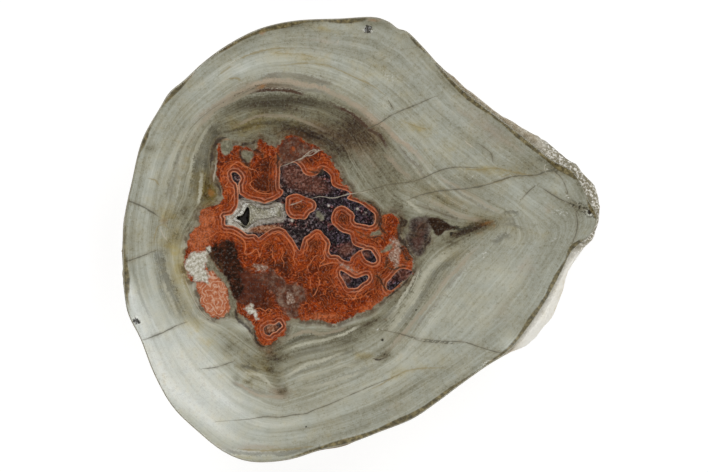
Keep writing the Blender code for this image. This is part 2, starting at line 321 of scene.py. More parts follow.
# %% Sink the holes, the chips and the pocket
DISHES = [
    (1.9, 52.7, 0.85, 0.7), (-55.9, -20.2, 0.8, 0.6), (57.6, 7, 0.7, 0.4), (10, 54.2, 2, 0.5),
    (-49.4, 37.6, 2.4, 1), (32.5, -31.9, 1.9, 0.8),
]
POCKET_MIDDLE, POCKET_HALF = (-26.3, 6.0), (8.0, 5.0)
WALL_START, POCKET_DEPTH, HOLE_DEPTH = 0.45, 3.2, 4.6
white_line, hole_line = smooth_line(WHITE_EDGE), smooth_line(HOLE_EDGE)


def sink(places):
    """Lowers places into the dishes, whose depth is the square of one less the square of the share
    of the way to their edge, and into the pocket, whose wall starts a little inside its edge."""
    for x, y, radius, deep in DISHES:
        share = ((places[:, 0] - x) ** 2 + (places[:, 1] - y) ** 2) / radius ** 2
        floor = FACE_HEIGHT - deep * (1.0 - share.clip(0.0, 1.0)) ** 2
        places[:, 2] = np.where(share < 1.0, np.minimum(places[:, 2], floor), places[:, 2])
    by_pocket = (np.abs(places[:, :2] - POCKET_MIDDLE) < POCKET_HALF).all(axis=1)
    near = by_pocket & (places[:, 2] > FACE_HEIGHT - 0.1)
    within = depth_inside(places[near, :2], [white_line])
    hollow = depth_inside(places[near, :2], [hole_line])
    places[near, 2] -= POCKET_DEPTH * smoothstep(WALL_START, 1.4, within)
    places[near, 2] -= HOLE_DEPTH * smoothstep(-0.8, 0.6, hollow)
    return places


rings = sink(rings.reshape(-1, 3)).reshape(rings.shape)
print("the pocket reaches", round(float(FACE_HEIGHT - rings[:CORE_RINGS, :, 2].min()), 1), "mm down")

# %% [markdown]
# ## Where the markings lie: the core
# Lace agate grows as thin layers on the walls of a hollow, so each line keeps its distance from
# the quartz that filled the hollow last. That makes one number enough for all the lace: how far
# a point lies from the edge of the quartz. Here the edges are laid down, and the distance is
# stored at every point of the grid. The material turns it into lines later.

# %% The edge of the red core
CORE_EDGE = [
    -43.3,-2, -42.9,0, -42.3,1.5, -41.2,2.9, -40.3,4, -40.2,6, -39.7,7.3, -38.3,8, -36.5,8.6, -35.2,9.3,
    -34.2,10.5, -34.5,12, -34.6,13.5, -35,14.5, -35.8,16, -35.8,18, -35.8,20, -35.7,22, -35.5,23.6,
    -35,24.1, -34.6,23.2, -34.6,22, -34.2,21.3, -33.4,21.2, -32.6,21.8, -32,22.6, -31.6,23.4,
    -30.5,23.6, -29.4,23.3, -28.2,23.2, -27.2,22.8, -26.4,22.4, -25.8,23.2, -25.4,24.4, -24.9,25.1,
    -24.2,24.6, -23.2,23.8, -22,23.5, -20.8,23.2, -20.2,23.9, -19.3,24.9, -18.2,26, -17,26.3, -16,25.8,
    -15,25.6, -13.8,24.6, -12,24, -10.4,23.4, -9.5,22.4, -8.3,21.4, -7.3,20.6, -6.9,19.4, -6.3,18.3,
    -5.5,17.6, -4.9,16.2, -4.6,15, -4.6,14.2, -3.6,13.6, -2.7,13.2, -2.3,12.2, -2.1,11.2, -1.3,10.4,
    0.3,9.9, 1.8,9.3, 3,8.7, 3.8,7.9, 4.4,7.2, 5.4,6.2, 6.5,6.4, 8.2,6.6, 9.4,5.8, 9.9,4.6, 9.5,3.6,
    9.2,2.6, 9.4,1.3, 9.8,0, 10.2,-1, 11.6,-2, 12.6,-3.6, 13.2,-5, 13,-7, 12.8,-8.6, 11.6,-9.9,
    10.2,-10.9, 9.3,-12, 8.3,-12.8, 7.4,-13.6, 6.4,-14, 5.6,-15, 4.9,-15.6, 4,-16.2, 3,-17, 2,-17.6,
    0.6,-18, -1,-18.7, -2.5,-19.3, -4,-20, -5.6,-20.7, -7,-20.9, -8.5,-20.4, -10,-20.1, -12,-20,
    -13.8,-20.1, -16,-19.5, -18.2,-20.3, -18.5,-22.5, -19.3,-23.9, -21,-25, -22.5,-25.9, -23.6,-26.4,
    -24.6,-26.2, -25.4,-25.2, -25.9,-24, -26.2,-22.6, -26.8,-21, -28,-19.6, -29.6,-18.8, -30.8,-18.2,
    -31.4,-17.5, -32,-17, -33,-18, -34.1,-19, -35.5,-19.5, -37.5,-19, -38.8,-17.6, -39.7,-16, -40.2,-14,
    -40.8,-12, -41.2,-10.5, -42.3,-10, -43.4,-8, -43.9,-6, -43.8,-4.5,
]
print("points of the core's edge:", len(CORE_EDGE) // 2)

# %% The edges of the quartz
QUARTZ_EDGE = [
    -30.25,12.5, -30.1,11.5, -29.5,11.1, -28.5,10.4, -27.5,10.1, -26,9.7, -25,9.5, -24,9.1, -23,9.4,
    -21.6,9.9, -20.3,10.6, -19.4,11.4, -19.2,12.4, -20,13, -20.1,14.5, -20,16, -19.9,17, -20,18.2,
    -19,19.3, -17.6,19.4, -16,19.2, -14.8,18, -14.3,16.9, -13.4,16.2, -12,15.9, -10.8,16.3, -10,17,
    -9.5,17.6, -8.6,17.2, -7.8,16.5, -7.3,15.8, -7.3,14.8, -6.9,13.7, -6,13.1, -4.8,12.7, -3.6,12.4,
    -2.8,12, -2.5,11.4, -3,10.9, -3.2,10.3, -2.2,9.9, -0.9,9.5, 0.3,9, 1.3,8.3, 2.2,7.6, 3,7, 3.6,6.4,
    3.8,5.3, 3.5,4.2, 2.6,3.6, 1.2,3.9, 0,4.1, -1,4.3, -1.5,5, -1.3,6, -1.8,7, -2.2,7.3, -3.4,8.2,
    -4.6,8.6, -5.8,8.2, -6.6,7.4, -7.1,6.2, -7.2,5, -6.9,4, -6,3.2, -5.2,2.4, -4.3,1.9, -3.2,1.6,
    -2.5,1.3, -2.3,0.6, -2.1,-0.3, -1.7,-1.1, -0.9,-1.6, 0,-1.9, 0.9,-2.2, -0.3,-2.7, -1.2,-3.4,
    -2.2,-4.3, -2.5,-5.2, -3,-5.3, -3.7,-5.1, -4.4,-4.8, -5.2,-4, -6.2,-3.7, -7.2,-3.7, -7.7,-3,
    -7.6,-2, -7.4,-1, -7.7,0, -8.3,0.7, -9,1.4, -9.6,2.2, -10.3,2.6, -11.2,2.6, -12,2.1, -12.9,1.3,
    -13.8,0.8, -14.3,0, -14.6,-1, -14.9,-2, -15.1,-2.6, -15.8,-1.6, -16.3,-0.6, -17,0.5, -17.8,1.4,
    -18.5,2.4, -19.5,3, -20.6,3.2, -22,2.9, -23,2.3, -24,1.6, -24.8,1, -25.3,0.6, -25.6,0.9, -26.2,1.4,
    -27,1.5, -28,1.4, -28.6,1.7, -29.6,2.5, -30.6,3.1, -31.8,3.6, -33,3.7, -33.6,3.8, -33.7,4.6,
    -33.6,5.6, -34,6, -33.2,6.1, -32,6.4, -31.4,7.1, -30.8,7.9, -30.5,8.9, -30.4,10, -30.4,11,
    -30.5,12.5, -30.8,14, -31.5,14.7, -31.9,15.3, -32,16, -32.2,16.6, -31.6,17, -30.9,16.8, -30.2,16.2,
    -29.8,15.5, -30,14.8, -30.4,14.1,
]
RED_ISLAND = [
    -18.5,10.6, -17.4,11.3, -16,11.6, -14.8,11.3, -13.5,10.7, -12.2,10.3, -11.3,9.7, -10.9,8.8, -11,8,
    -11.6,7.2, -12.4,6.8, -12.9,6.2, -13.3,5.5, -14,5.1, -15,5.3, -16,5.2, -17,5.4, -17.8,5.9,
    -18.4,6.8, -18.7,8, -18.6,9.3,
]
SMALL_QUARTZ = [
    [0.5,-2.8, 1.5,-2.5, 2.6,-2.6, 3.4,-3.6, 4,-4.6, 4,-5.4, 3.2,-5.7, 2.4,-5.4, 1.5,-4.9, 0.9,-4],
    [-4.9,-7.7, -4.2,-7.9, -3.2,-8.5, -2.2,-9.2, -1.1,-9.6, 0,-9.3, 1,-8.9, 1.8,-8.8, 2.1,-9.4,
     1.6,-10.2, 0.8,-10.6, 0,-11.2, -0.6,-11.8, -1.3,-12, -2.2,-12, -3,-12, -3.4,-11.4, -3.8,-10.6,
     -4.3,-9.7, -4.9,-8.7],
    [6.8,-10.6, 7.6,-9.8, 8.6,-8.6, 9.8,-7.4, 11,-7.2, 12.6,-7.6, 13.1,-8, 12.8,-9.2, 11.6,-10,
     10.4,-10.5, 9.4,-11.4, 8.4,-12.3, 7.4,-12.6, 6.6,-12],
    [-24,-22, -23.2,-21.4, -22.5,-21.1, -21.5,-21.3, -20.7,-20.8, -20.2,-20.5, -19.8,-21, -19.5,-21.5,
     -19.9,-21.9, -20.4,-22.3, -21,-22.9, -21.6,-23, -22.2,-23.4, -22.6,-23.9, -23.3,-23.7,
     -23.8,-23.3],
]
RING_EYES = [
    (2.6, -15.2), (-33.3, 0.5), (-35.1, 3.2), (-13.2, -19.3), (-34.3, 15.3), (-10.8, 1), (-4.2, -16.8),
    (-15.6, 9.6),
]
print("points of the quartz's edge:", len(QUARTZ_EDGE) // 2, " small windows:", len(SMALL_QUARTZ))

# %% [markdown]
# The other parts of the core are patches with edges of their own: smoky quartz, grey-mauve
# quartz, salmon-coloured jasper with a white corner, glassy grey patches, and a smoky tail that
# runs off to the right. Each gets its own distance from the edge, so that its material can fade,
# fray or darken there.

# %% The other patches
SMOKY = [
    [-38,-2.4, -36.5,-1.2, -34.5,-0.8, -33.5,0, -32,-0.2, -31,-1.2, -30.6,-2.8, -30.2,-4.4, -29.6,-6,
     -29.4,-7.4, -30,-9, -29.6,-10.4, -29,-12, -29.6,-13.6, -31,-15, -32.2,-14, -32.6,-12, -33,-10.8,
     -33.7,-9.6, -34.5,-8.4, -35.4,-7.2, -36.4,-6, -37.4,-4.8, -38.4,-3.4],
]
MAROON = [
    [-30.2,-7, -28.6,-7.2, -27,-7.8, -25.8,-8.6, -25,-10, -24.4,-12, -24.2,-14, -25,-15.6, -26.4,-16,
     -28,-16.2, -29.6,-16.4, -31,-15.4, -31.6,-13.8, -31,-11.6, -30.4,-9.4],
]
MAUVE = [
    [-26.4,-7.6, -25,-8.4, -23.4,-8, -22.4,-6.8, -21.4,-7.6, -20.8,-9, -19.4,-9.6, -18.4,-11, -17,-11.2,
     -15.8,-11, -14.4,-11.8, -13.8,-13.4, -13.2,-14.8, -14.4,-15.4, -15.4,-16.6, -15.4,-18.4, -16,-19.5,
     -18.4,-19.2, -19,-17.6, -20.2,-16.6, -21.2,-15, -22,-13.4, -23.2,-12.2, -24.6,-10.8, -25.8,-9.2],
    [-20.4,22.5, -19.8,24.2, -18.4,25.4, -16.8,25.8, -15.2,25.4, -13.6,24.2, -11.4,23.2, -9.8,22.4,
     -12,20.9, -15,19.9, -17.6,19.2, -19.6,18.6, -20.4,20],
]
WHITE = [
    [-42,-3.1, -40.5,-2.9, -39,-2.8, -37.6,-1.4, -37.2,-2, -38,-3.6, -38.2,-5, -38.8,-7, -38,-8.5,
     -38,-10.6, -39.6,-10.3, -41,-10.3, -41.9,-9.2, -43,-8.4, -43.6,-7, -43.5,-5.4, -42.8,-4.4],
    [-28.6,-17.2, -27.8,-16.5, -26.8,-16.4, -26.2,-17.4, -25.3,-19.6, -25.8,-19.8, -26.6,-18.8,
     -27.8,-18.4],
]
PINKISH = [
    [7.4,0, 8.6,0.3, 9.6,-0.2, 10.2,-1, 10,-2.4, 10,-4, 9.8,-5.4, 9.6,-6.6, 9,-7.2, 8.6,-6.6, 8.4,-5.6,
     7.6,-5, 7.2,-4, 7.2,-3, 8.2,-2.4, 8.6,-1.4, 8,-0.8],
    [-5,-6, -4,-6, -3,-6.6, -1.8,-7.3, -1,-7.8, -1.6,-8, -2.8,-7.4, -4.2,-6.7],
    [-26.6,-6.4, -25.4,-6.2, -23.4,-6.4, -23.2,-7.4, -24.6,-8, -26,-7.4],
    [-18.4,-13.2, -17.2,-13, -16.6,-14.4, -16.8,-15.8, -17.8,-15.8, -18.2,-14.6],
]
SALMON = [
    [-37.8,-7.8, -36.8,-7.8, -36,-8.8, -35,-10, -34,-10.8, -33.4,-12, -33,-13.4, -33,-15.4, -32.3,-17.1,
     -32.7,-18, -34,-18.5, -34.8,-19.3, -36.2,-19.3, -37.7,-19, -38.6,-17.7, -39.4,-16.4, -40.1,-15,
     -40.1,-13, -40.8,-12, -41.2,-10.8, -40,-10.6, -38.6,-11, -38.1,-10],
]
GLASSY = [
    [-34.6,24.6, -32.2,24.8, -31.9,23, -32.6,21.9, -33.4,21.3, -34.2,21.5, -34.7,22.6],
    [-29.9,22.3, -29.2,22.6, -28,22.3, -27,22, -26.4,21.4, -26.8,20.6, -27.4,19.9, -27.6,19.2,
     -28.4,19.4, -29.2,20.1, -29.8,21.2],
    [-38,-4, -37,-5, -36,-6.2, -35,-7.6, -34,-8.8, -33.2,-10, -32.6,-11.4, -32.3,-13, -31.6,-14.4,
     -30.8,-15.2, -30.8,-17, -31,-19, -31.6,-19.6, -32.4,-19, -32.6,-18, -32.2,-17, -32.8,-15.6,
     -32.9,-14, -33.3,-12, -34.2,-10.4, -35.6,-9.2, -36.6,-7.9, -38,-7.4, -38.6,-6],
    [2.6,1.2, 3.2,2, 4.2,2.5, 5.1,2.6, 5.3,1.6, 4.6,1.2],
    [5.2,-2.9, 6,-2.4, 6.6,-1.6, 7.4,-1.1, 8.2,-1.3, 8.1,-2.1, 7.4,-2.6, 6.4,-2.9],
    [18.9,3.4, 19,3.9, 19.6,4, 19.9,3.6, 19.5,3.1],
    [-10.9,7, -10.2,7, -9.5,6.2, -9.1,5.2, -9.6,5, -10.5,5.8],
]
TAIL = [
    [12.6,2.4, 12,3.4, 12.6,4.6, 13.6,5.6, 15,6, 16.2,5.9, 17.8,5.4, 18,3.4, 17.6,1.4, 17.5,-0.2,
     16.8,-1.4, 16.4,-2.4, 15.6,-3.6, 14.4,-4.1, 13.4,-3.7, 12.2,-2.6, 11.4,-0.8, 11.4,0.8, 12.2,1.8],
]
CLUMP = [
    [17,5.4, 18.6,5.6, 20.4,5.2, 21.6,4.5, 22.6,3.7, 24,3.2, 23.8,2.6, 22.4,2.5, 21.2,2.3, 20.5,1.4,
     19.6,1, 18.8,1.5, 18.2,2.4, 17.8,3.4, 17.2,4.4],
]
print("glassy patches:", len(GLASSY), " pinkish patches:", len(PINKISH))

# %% Distances stored on the grid
def lines_of(number_lists):
    return [smooth_line(numbers, steps=3) for numbers in number_lists]


places = rings.reshape(-1, 3)
on_face = np.arange(len(places)) < FACE_RINGS * SPOKES
flat = places[on_face, :2]
from_core = np.hypot(*(flat - CORE).T)
FIELDS = {
    "quartz": lines_of([QUARTZ_EDGE, RED_ISLAND, *SMALL_QUARTZ]),
    "smoky": lines_of(SMOKY),
    "maroon": lines_of(MAROON),
    "mauve": lines_of(MAUVE),
    "pinkish": lines_of(PINKISH),
    "pocket": [white_line],
    "white": lines_of(WHITE),
    "salmon": lines_of(SALMON),
    "glassy": lines_of(GLASSY),
    "tail": lines_of(TAIL),
    "clump": lines_of(CLUMP),
}
FAR, FAR_OUTSIDE, PATCH_REACH, TAIL_REACH = 50.0, -20.0, 34.0, 52.0
marks = {name: np.full(len(places), FAR_OUTSIDE) for name in FIELDS}
for name, lines in FIELDS.items():
    wide = from_core < (TAIL_REACH if name in ("tail", "clump") else PATCH_REACH)
    marks[name][: len(flat)][wide] = depth_inside(flat[wide], lines)
core_line = smooth_line(CORE_EDGE, steps=3)
marks["core"] = np.full(len(places), 3.0 * FAR_OUTSIDE)
marks["core"][: len(flat)] = depth_inside(flat, [core_line])
print("points in the red core:", int((marks["core"] > 0).sum()), " in its quartz:",
      int((marks["quartz"] > 0).sum()))

# %% [markdown]
# ## Where the markings lie: the grey bands
# The grey stone round the core is banded too. Its bands run from the core's edge to the rind and
# change shape on the way: star-like at the core, with a point to the right, and rounder outside.
# Three lines are laid down between the core's edge and the face's edge, each wholly round the one
# before. Between two lines a point's level is its share of the way from one to the next, so the
# levels run on smoothly, as the bands do.

# %% Levels of the grey bands
BAND_INNER = [
    -40.4,10, -39.7,14, -38.6,18, -38,22, -37,25, -35.5,27.5, -33,28.5, -30,29.4, -27,30.2, -24,30.6,
    -20,30.8, -15,30.3, -10,29, -6,27, -3.5,24.5, -2,21, 0,17.5, 2.5,14, 5,11, 7.5,8.6, 10,7.5, 14,6.8,
    18,6.2, 22,5, 27,4.3, 33,4.5, 28,2.2, 24,0.5, 20,-1.5, 17,-4, 14.8,-7, 13.4,-10.5, 10.8,-14, 8,-17,
    4.5,-20, 0,-22.3, -4,-24, -8,-25.2, -13,-26.2, -18,-27.3, -23,-29.3, -27,-27, -31,-24.3, -35,-21.5,
    -38.5,-19.9, -41.5,-16, -43.5,-12.5, -45.2,-9, -46,-5, -45.6,-1, -44.5,3, -42.5,6.5, -41,8.6,
]
BAND_MIDDLE = [
    35,4.5, 30.5,0, 26,-4, 22,-8.5, 19,-13, 16.5,-16.5, 13.5,-21, 10,-25.5, 6,-29, 1,-32, -4,-34.3,
    -10,-36.5, -15,-38.3, -20.5,-40, -25,-38, -30,-35.5, -34,-32, -37.5,-28.5, -41,-24.5, -44.5,-20,
    -47,-15, -49,-10, -50.5,-5, -51,0, -50.5,5, -49.6,10, -49,14, -47.8,18, -46,22.5, -43.8,26.5,
    -41,30, -38,32.6, -35,34.6, -32,36.7, -29,38.3, -25,39.3, -20,39.8, -15,39.3, -10,38, -5,35.8,
    -2,34.3, 0,33, 3,30.5, 5.5,28.8, 8,26.5, 10,24.3, 12,22, 14,19.5, 16.5,16, 20,12.5, 25,9, 31,6.3,
]
BAND_OUTER = [
    -55.2,-5, -55.2,3, -54,10, -52.4,17, -50.5,23, -47,29.5, -43,34.5, -38,39, -32,43, -26,45.7,
    -19,46.8, -12,46.4, -5,44.8, 1,42, 7,37.5, 13,32, 19,26.5, 25,21.5, 31,17, 37,13, 42,9.5, 47,6,
    50,3.5, 50,0.5, 47.5,-4, 44,-10, 40,-16, 35,-21.5, 29,-26.5, 22,-31.5, 15,-36, 8,-40, 0,-43.5,
    -8,-46, -15,-47.5, -21,-48.2, -27,-47.5, -32.5,-44.5, -37,-41, -41.5,-36.5, -45.5,-31, -49,-24.5,
    -52,-17.5, -54.3,-10.5,
]
LEVELS = (0.0, 0.14, 0.42, 0.72, 1.0)
LEVEL_PER_MM = 0.02


def band_levels(places):
    """0 at the core's edge, 1 at the face's edge, between two lines the share of the way, and
    less than nothing inside the core."""
    drawn = (BAND_INNER, BAND_MIDDLE, BAND_OUTER)
    lines = [core_line, *(smooth_line(numbers, steps=3) for numbers in drawn)]
    depths = [-depth_inside(places, [line]) for line in [*lines, smooth_line(FACE_EDGE)]]
    level = np.minimum(depths[0], 0.0) * LEVEL_PER_MM
    for low, high, start, end in zip(LEVELS, LEVELS[1:], depths, depths[1:]):
        gone, left = start.clip(0.0), (-end).clip(0.0)
        share = gone / (gone + left).clip(1e-6)
        level = np.where(start > 0.0, low + (high - low) * share, level)
    return level, -depths[-1]


marks["level"] = np.ones(len(places))
marks["from_rim"] = np.zeros(len(places))
marks["level"][: len(flat)], marks["from_rim"][: len(flat)] = band_levels(flat)
print("levels run from", marks["level"].min().round(2), "to", marks["level"].max().round(2))

# %% [markdown]
# ## Cracks, veins and streaks
# Fine lines cross the bands: dark cracks, golden veins of iron stain, white healed cracks, and
# soft dark streaks. Each is an open line with its own half width. Two numbers are stored for each
# kind: how many half widths a point lies to one side of the nearest line, which crosses zero
# exactly on the line, and how far away the line is, which ends it at its two ends.

# %% Cracks and veins
CRACKS = [
    (0.11, [4,-22.2, 9,-23.2, 12,-24, 16,-24.8, 21,-25.3, 26,-25.5, 30,-26.8, 35,-28.2, 37,-27.8]),
    (0.1, [11,-23.6, 15,-25.2, 20,-25.7, 24,-26]),
    (0.13, [-1,26.6, 4.5,29, 8,31.3, 14,33.8, 19,36]),
    (0.11, [-1.5,11.5, 4,13, 8,14, 12,14.4, 16,15.6, 20,17.4, 24,18.2, 30,18]),
    (0.14, [12,10, 15,11.2, 20,12.3, 26,12.8, 31,13.6, 38,15.8, 44,16.2, 46,16.8]),
    (0.22, [44.5,16.3, 46,17, 48,17.4, 50,18.3, 54,18.1]),
    (0.14, [45,13.4, 48,11.4, 50,10.2, 52.4,9.2, 56,8, 58,7]),
    (0.1, [40,9.7, 42,12, 44.4,14]),
    (0.2, [-58.5,10, -55,8.6, -53,7.6, -50.6,6]),
    (0.13, [-59,-5.5, -56,-4.6, -53,-3.4, -51,-2.6]),
    (0.16, [-54,-25, -51,-23.8, -49,-23, -46,-21.5, -43.5,-20.5]),
    (0.11, [-39.5,-32.2, -36,-31.8, -33,-30.8, -31.5,-30.4]),
    (0.09, [-36,-45.4, -28,-44.8, -24,-44.2, -20,-44.3, -16.5,-43.7, -13.4,-43.4, -11.6,-42.5, -8,-41.2,
      -3,-39, 3,-36.4, 7,-34.8, 10,-33.6]),
    (0.11, [29.5,24.2, 31.5,22.8, 32.8,21.6, 33.3,19.3]),
    (0.1, [7,35, 8.5,32.5]),
    (0.12, [53.8,8, 54.4,4, 53.8,1, 52.4,-2]),
    (0.1, [47,18, 50,16, 51.4,13.4, 52,11]),
]
VEINS = [
    (0.16, [-22,46.8, -18,46.6, -14.6,46.4, -11,45.6]),
    (0.16, [-20,43.6, -14,44.2, -9,43.8, -5,42.4, -1,40.5, 3,38.6, 6.5,36]),
    (0.22, [-31,45, -27,46.6, -22,47.8, -18,48]),
    (0.2, [-35,41.6, -32,43.6]),
    (0.2, [-33,40.2, -31,40.5, -29.6,39.8]),
    (0.12, [11,29.6, 14,28.4, 17,27.6]),
    (0.16, [26,17.8, 30,17.6, 34,18, 38,17, 42,16.7]),
    (0.12, [31,14, 34,14.4, 37,15.5, 41,16.4, 44.6,15.8]),
    (0.18, [2,-37.6, 5,-36.2, 8,-34.5, 12,-32.6, 17,-32, 21,-32]),
    (0.22, [-58.6,9, -59,2, -58.9,-5, -58.6,-12, -57.6,-17]),
    (0.25, [-30,-52.2, -25,-52.6, -18,-52.4, -12,-51.6]),
    (0.2, [5,-52.5, 12,-49, 17,-46]),
    (0.16, [-51.6,-0.6, -51,2, -50.4,3.4, -49,3.8, -48,3]),
    (0.16, [-52.8,15.4, -51.2,15, -50.2,13.6]),
]
print("cracks:", len(CRACKS), " veins:", len(VEINS))

# %% Pale lines and lace lines
PALE_LINES = [
    (0.1, [-44.2,-8.4, -43,-11.6, -41.4,-15.2, -39.4,-18.4, -37,-20.2]),
    (0.1, [-20,18.3, -18,19, -16.4,19.7, -14.8,20.3, -13.4,21, -12,21.2, -10.4,22.3, -9.2,22.5]),
    (0.07, [-15,20.2, -13.6,21.4, -12,22.4, -10.4,22.6]),
    (0.12, [-12,10.4, -9.8,10.9, -7.5,10.5, -6,10.6, -4,11.2, -2.2,11.6, 1,12, 3,12.6]),
    (0.12, [-17.6,8.7, -16,9.2, -14.4,9.9]),
    (0.14, [26.2,25, 26.8,24.2, 27.6,23.6, 28.4,23]),
    (0.2, [-49.8,2.8, -49.2,1.2, -48.2,-0.2]),
    (0.1, [-5.6,49.2, -5.3,50]),
    (0.14, [-3,-49.4, -4.2,-49.8, -4.8,-50.8, -4.4,-51.6]),
    (0.12, [46,19, 46.2,17.6, 46.8,16.8]),
    (0.16, [-36.6,14.5, -36.5,16, -36.2,17.4, -36,19]),
]
LACE_LINES = [
    (0.13, [-40,-0.3, -38.9,0.1, -37.9,0.5, -37.2,0.9, -36.4,1.4, -35.8,1.9, -35,2, -34.3,1.8, -33.4,2,
      -32.4,1.8, -31.3,1.4, -30.2,0.9, -29.3,0.2, -28.8,-0.6, -28.6,-1.9, -28.8,-3.1, -28.5,-3.5,
      -27.8,-3.5, -26.9,-3.1, -26.4,-2.4, -25.8,-2.4, -25.4,-3, -25.15,-4.1, -24.8,-3.5, -24.7,-2.7,
      -24.2,-1.4, -23.5,-0.9, -22.7,-1]),
    (0.1, [-34.1,16.4, -34.3,15.9, -33.4,15.7, -33,15, -33.1,14.2, -33.7,13.5, -33.3,13.3, -32.2,13.2,
      -31.6,12.8, -31.4,11.8, -31.9,10.9, -32.2,10.1, -33.1,9.1]),
    (0.1, [-34.1,16.8, -33.3,17.6, -32.6,18, -31.6,19, -30.9,19.4, -30.3,19.6, -29.6,19.1, -29,18.5,
      -28.2,18.3, -27.4,17.8, -25.9,17.3, -25.2,16]),
    (0.1, [-26.6,14.9, -27.1,14.6, -27.6,14.2, -27.2,13.5, -26.5,12.6, -25.4,12, -24.3,11.7, -23.1,11.6,
      -22,11.7]),
    (0.11, [-24,0.4, -23.2,1.1, -22.3,1.4, -21.9,1.7, -21.2,1.5, -20.6,1.9, -19.8,1.7, -19.1,1.2,
      -18.5,0.6, -17.9,0, -17.4,-0.7, -16.8,-1.6, -16.5,-2.7, -16.4,-3.5, -16.7,-4.7, -16.2,-5.6,
      -16.4,-6.4, -15.8,-6.9, -15.5,-8]),
    (0.11, [-14,-3.8, -14.1,-2.8, -13.4,-2.4, -13.1,-1.1, -13.4,-0.2, -12.7,0.3, -11.6,1.3, -10.7,1.7,
      -9.9,1.4, -9.3,0.4, -8.7,-0.4, -8.5,-1.3, -8.9,-2.4, -9.1,-3.3, -8.8,-4.1, -9,-5, -9.9,-5.8,
      -10.2,-6.9, -10.5,-8]),
    (0.1, [-10.3,-3.8, -11.3,-4.1, -11.9,-5, -12.4,-5.8, -13.1,-6.6, -13.3,-8]),
    (0.13, [-10,-6.4, -8.8,-6.1, -7.6,-5.8, -6.5,-5.7, -5.4,-5.8]),
    (0.12, [-11.9,-14.1, -11.2,-13.4, -10.6,-12, -10.1,-10.5, -10.4,-9.4]),
    (0.1, [-12.7,-8.8, -12.4,-10.3, -12.5,-11.9]),
    (0.1, [-22.5,-2.2, -21.8,-3, -21.9,-4.2, -21.2,-5, -21.3,-6.2]),
    (0.1, [-19.5,-2, -19.2,-3.4, -19.6,-4.6, -19,-5.6, -19.2,-7]),
    (0.1, [-6.8,-9.8, -6,-9.2, -5.6,-8.4, -6.2,-7.6]),
    (0.1, [-8,-12, -7.2,-11.4, -6.4,-11.8, -5.8,-11.2, -5.2,-11.6]),
    (0.12, [0.8,-7.2, 2,-6.4, 3.2,-6.6, 4.4,-6, 5,-4.8, 5,-3.6, 4,-2.2, 2.8,-1.7, 1.2,-1.8]),
    (0.1, [-3.4,-13.4, -2.4,-14, -1.6,-15, -1.2,-14.2, -0.6,-13.2, 0.4,-12.6, 1.6,-11.8]),
    (0.1, [-26.4,-17.4, -25.2,-17, -24.4,-17.4, -23.6,-17.8, -22.8,-17.2, -21.8,-17.6]),
    (0.12, [-38.2,-11.2, -37.2,-11.2, -36.6,-12.2, -36,-13, -35.6,-14, -36.4,-14.4, -37.2,-14.2]),
    (0.12, [-38.8,-13.6, -38.4,-15, -38,-16.2, -37,-16.4, -36,-16.3, -35.4,-15.2, -34.8,-16.2,
      -34.2,-17.4]),
]
print("pale lines:", len(PALE_LINES), " lace lines:", len(LACE_LINES))

# %% Dark seams
SEAMS = [
    (0.3, [5,7.6, 4.7,6, 4.9,4.2, 5.4,2.8, 6.6,1.6]),
    (0.32, [9.6,6.2, 10.4,5.2, 10.2,3.8, 9.6,2.4, 9.8,0.6, 10.8,-0.8, 11.8,-2, 12.6,-3.2]),
    (0.2, [-1.2,2.4, 1,1.2, 3,0.6, 4.8,0.9, 6.2,0]),
    (0.2, [6.6,-4, 6.8,-5.6, 6.2,-7]),
    (0.5, [-37.4,18.5, -37.1,20.5, -36.8,22, -36,24.2, -35,25.2, -33.5,25.6]),
    (0.25, [-36.4,14.2, -35.6,13.6, -35,12.8, -34.8,11.6]),
    (0.4, [-29.8,23.7, -28.4,24.1, -27,24.2, -26,25]),
    (0.5, [-26.6,22.3, -25.6,22.4, -24.8,21.6, -24.4,21]),
    (0.3, [-29.9,22.6, -29.9,21, -29,19.8, -28,18.9, -27.4,19]),
    (0.25, [-21,21.8, -20.4,20.6, -20.6,19.2, -20.4,17.4]),
    (0.24, [-26.4,-22.4, -26.2,-24, -25.8,-25.4, -24.6,-26.6, -23.2,-26.8]),
    (0.4, [-31.2,-17.2, -30.8,-19.4, -29.4,-20.8, -28,-22, -27,-23.6]),
    (0.16, [-30.3,10.4, -29,10, -27,9.4, -25,9.05, -23,8.9, -21,9.7]),
    (0.2, [-38.4,-2.2, -37.4,-3.6, -36.8,-4.8, -35.4,-6.2, -34.4,-7.6]),
    (0.3, [22.6,1.7, 23.2,1.8, 24,1.9]),
    (0.2, [3.4,-29.6, 4.6,-30, 6,-29.5, 7,-28.6]),
    (0.22, [17.6,1, 17.4,-0.2, 16.4,-1.2, 16.2,-2.4]),
    (0.26, [9.8,3.6, 10.6,4.8, 11.6,4.8, 11.2,3.8, 10.4,3.4]),
    (0.24, [1.4,9.9, 3.2,8.8, 4.7,7, 5.3,5, 5.4,3.2]),
    (0.26, [9.6,-1.6, 10.6,-2.2, 11,-3.4, 11.6,-4.6, 12.8,-5]),
    (0.2, [7,-6.8, 8.4,-7.4, 10,-6.8, 11.4,-6.6]),
    (0.24, [12.4,-9.4, 10.6,-11.4, 8.6,-13, 6.8,-14.4]),
    (0.2, [3.6,-8.8, 5,-9.6, 5.6,-11, 6.6,-12.6]),
    (0.28, [11,0.4, 11.4,-1.2, 12.2,-2.8, 13.3,-4]),
    (0.2, [10.4,1.4, 9.8,2.8, 10.2,4.2, 11.2,5]),
    (0.28, [14.4,2.6, 15.2,3.2, 15.8,4, 16,3]),
    (0.24, [12.2,1.4, 13.4,1.2, 14.8,1]),
    (0.2, [9.4,0.8, 10,-0.2, 11,0.2]),
    (0.2, [22.6,1.4, 23.2,1.7, 23.8,1.5]),
    (0.2, [-12.6,17.2, -10.4,16.9, -9.2,18]),
]
print("seams:", len(SEAMS))

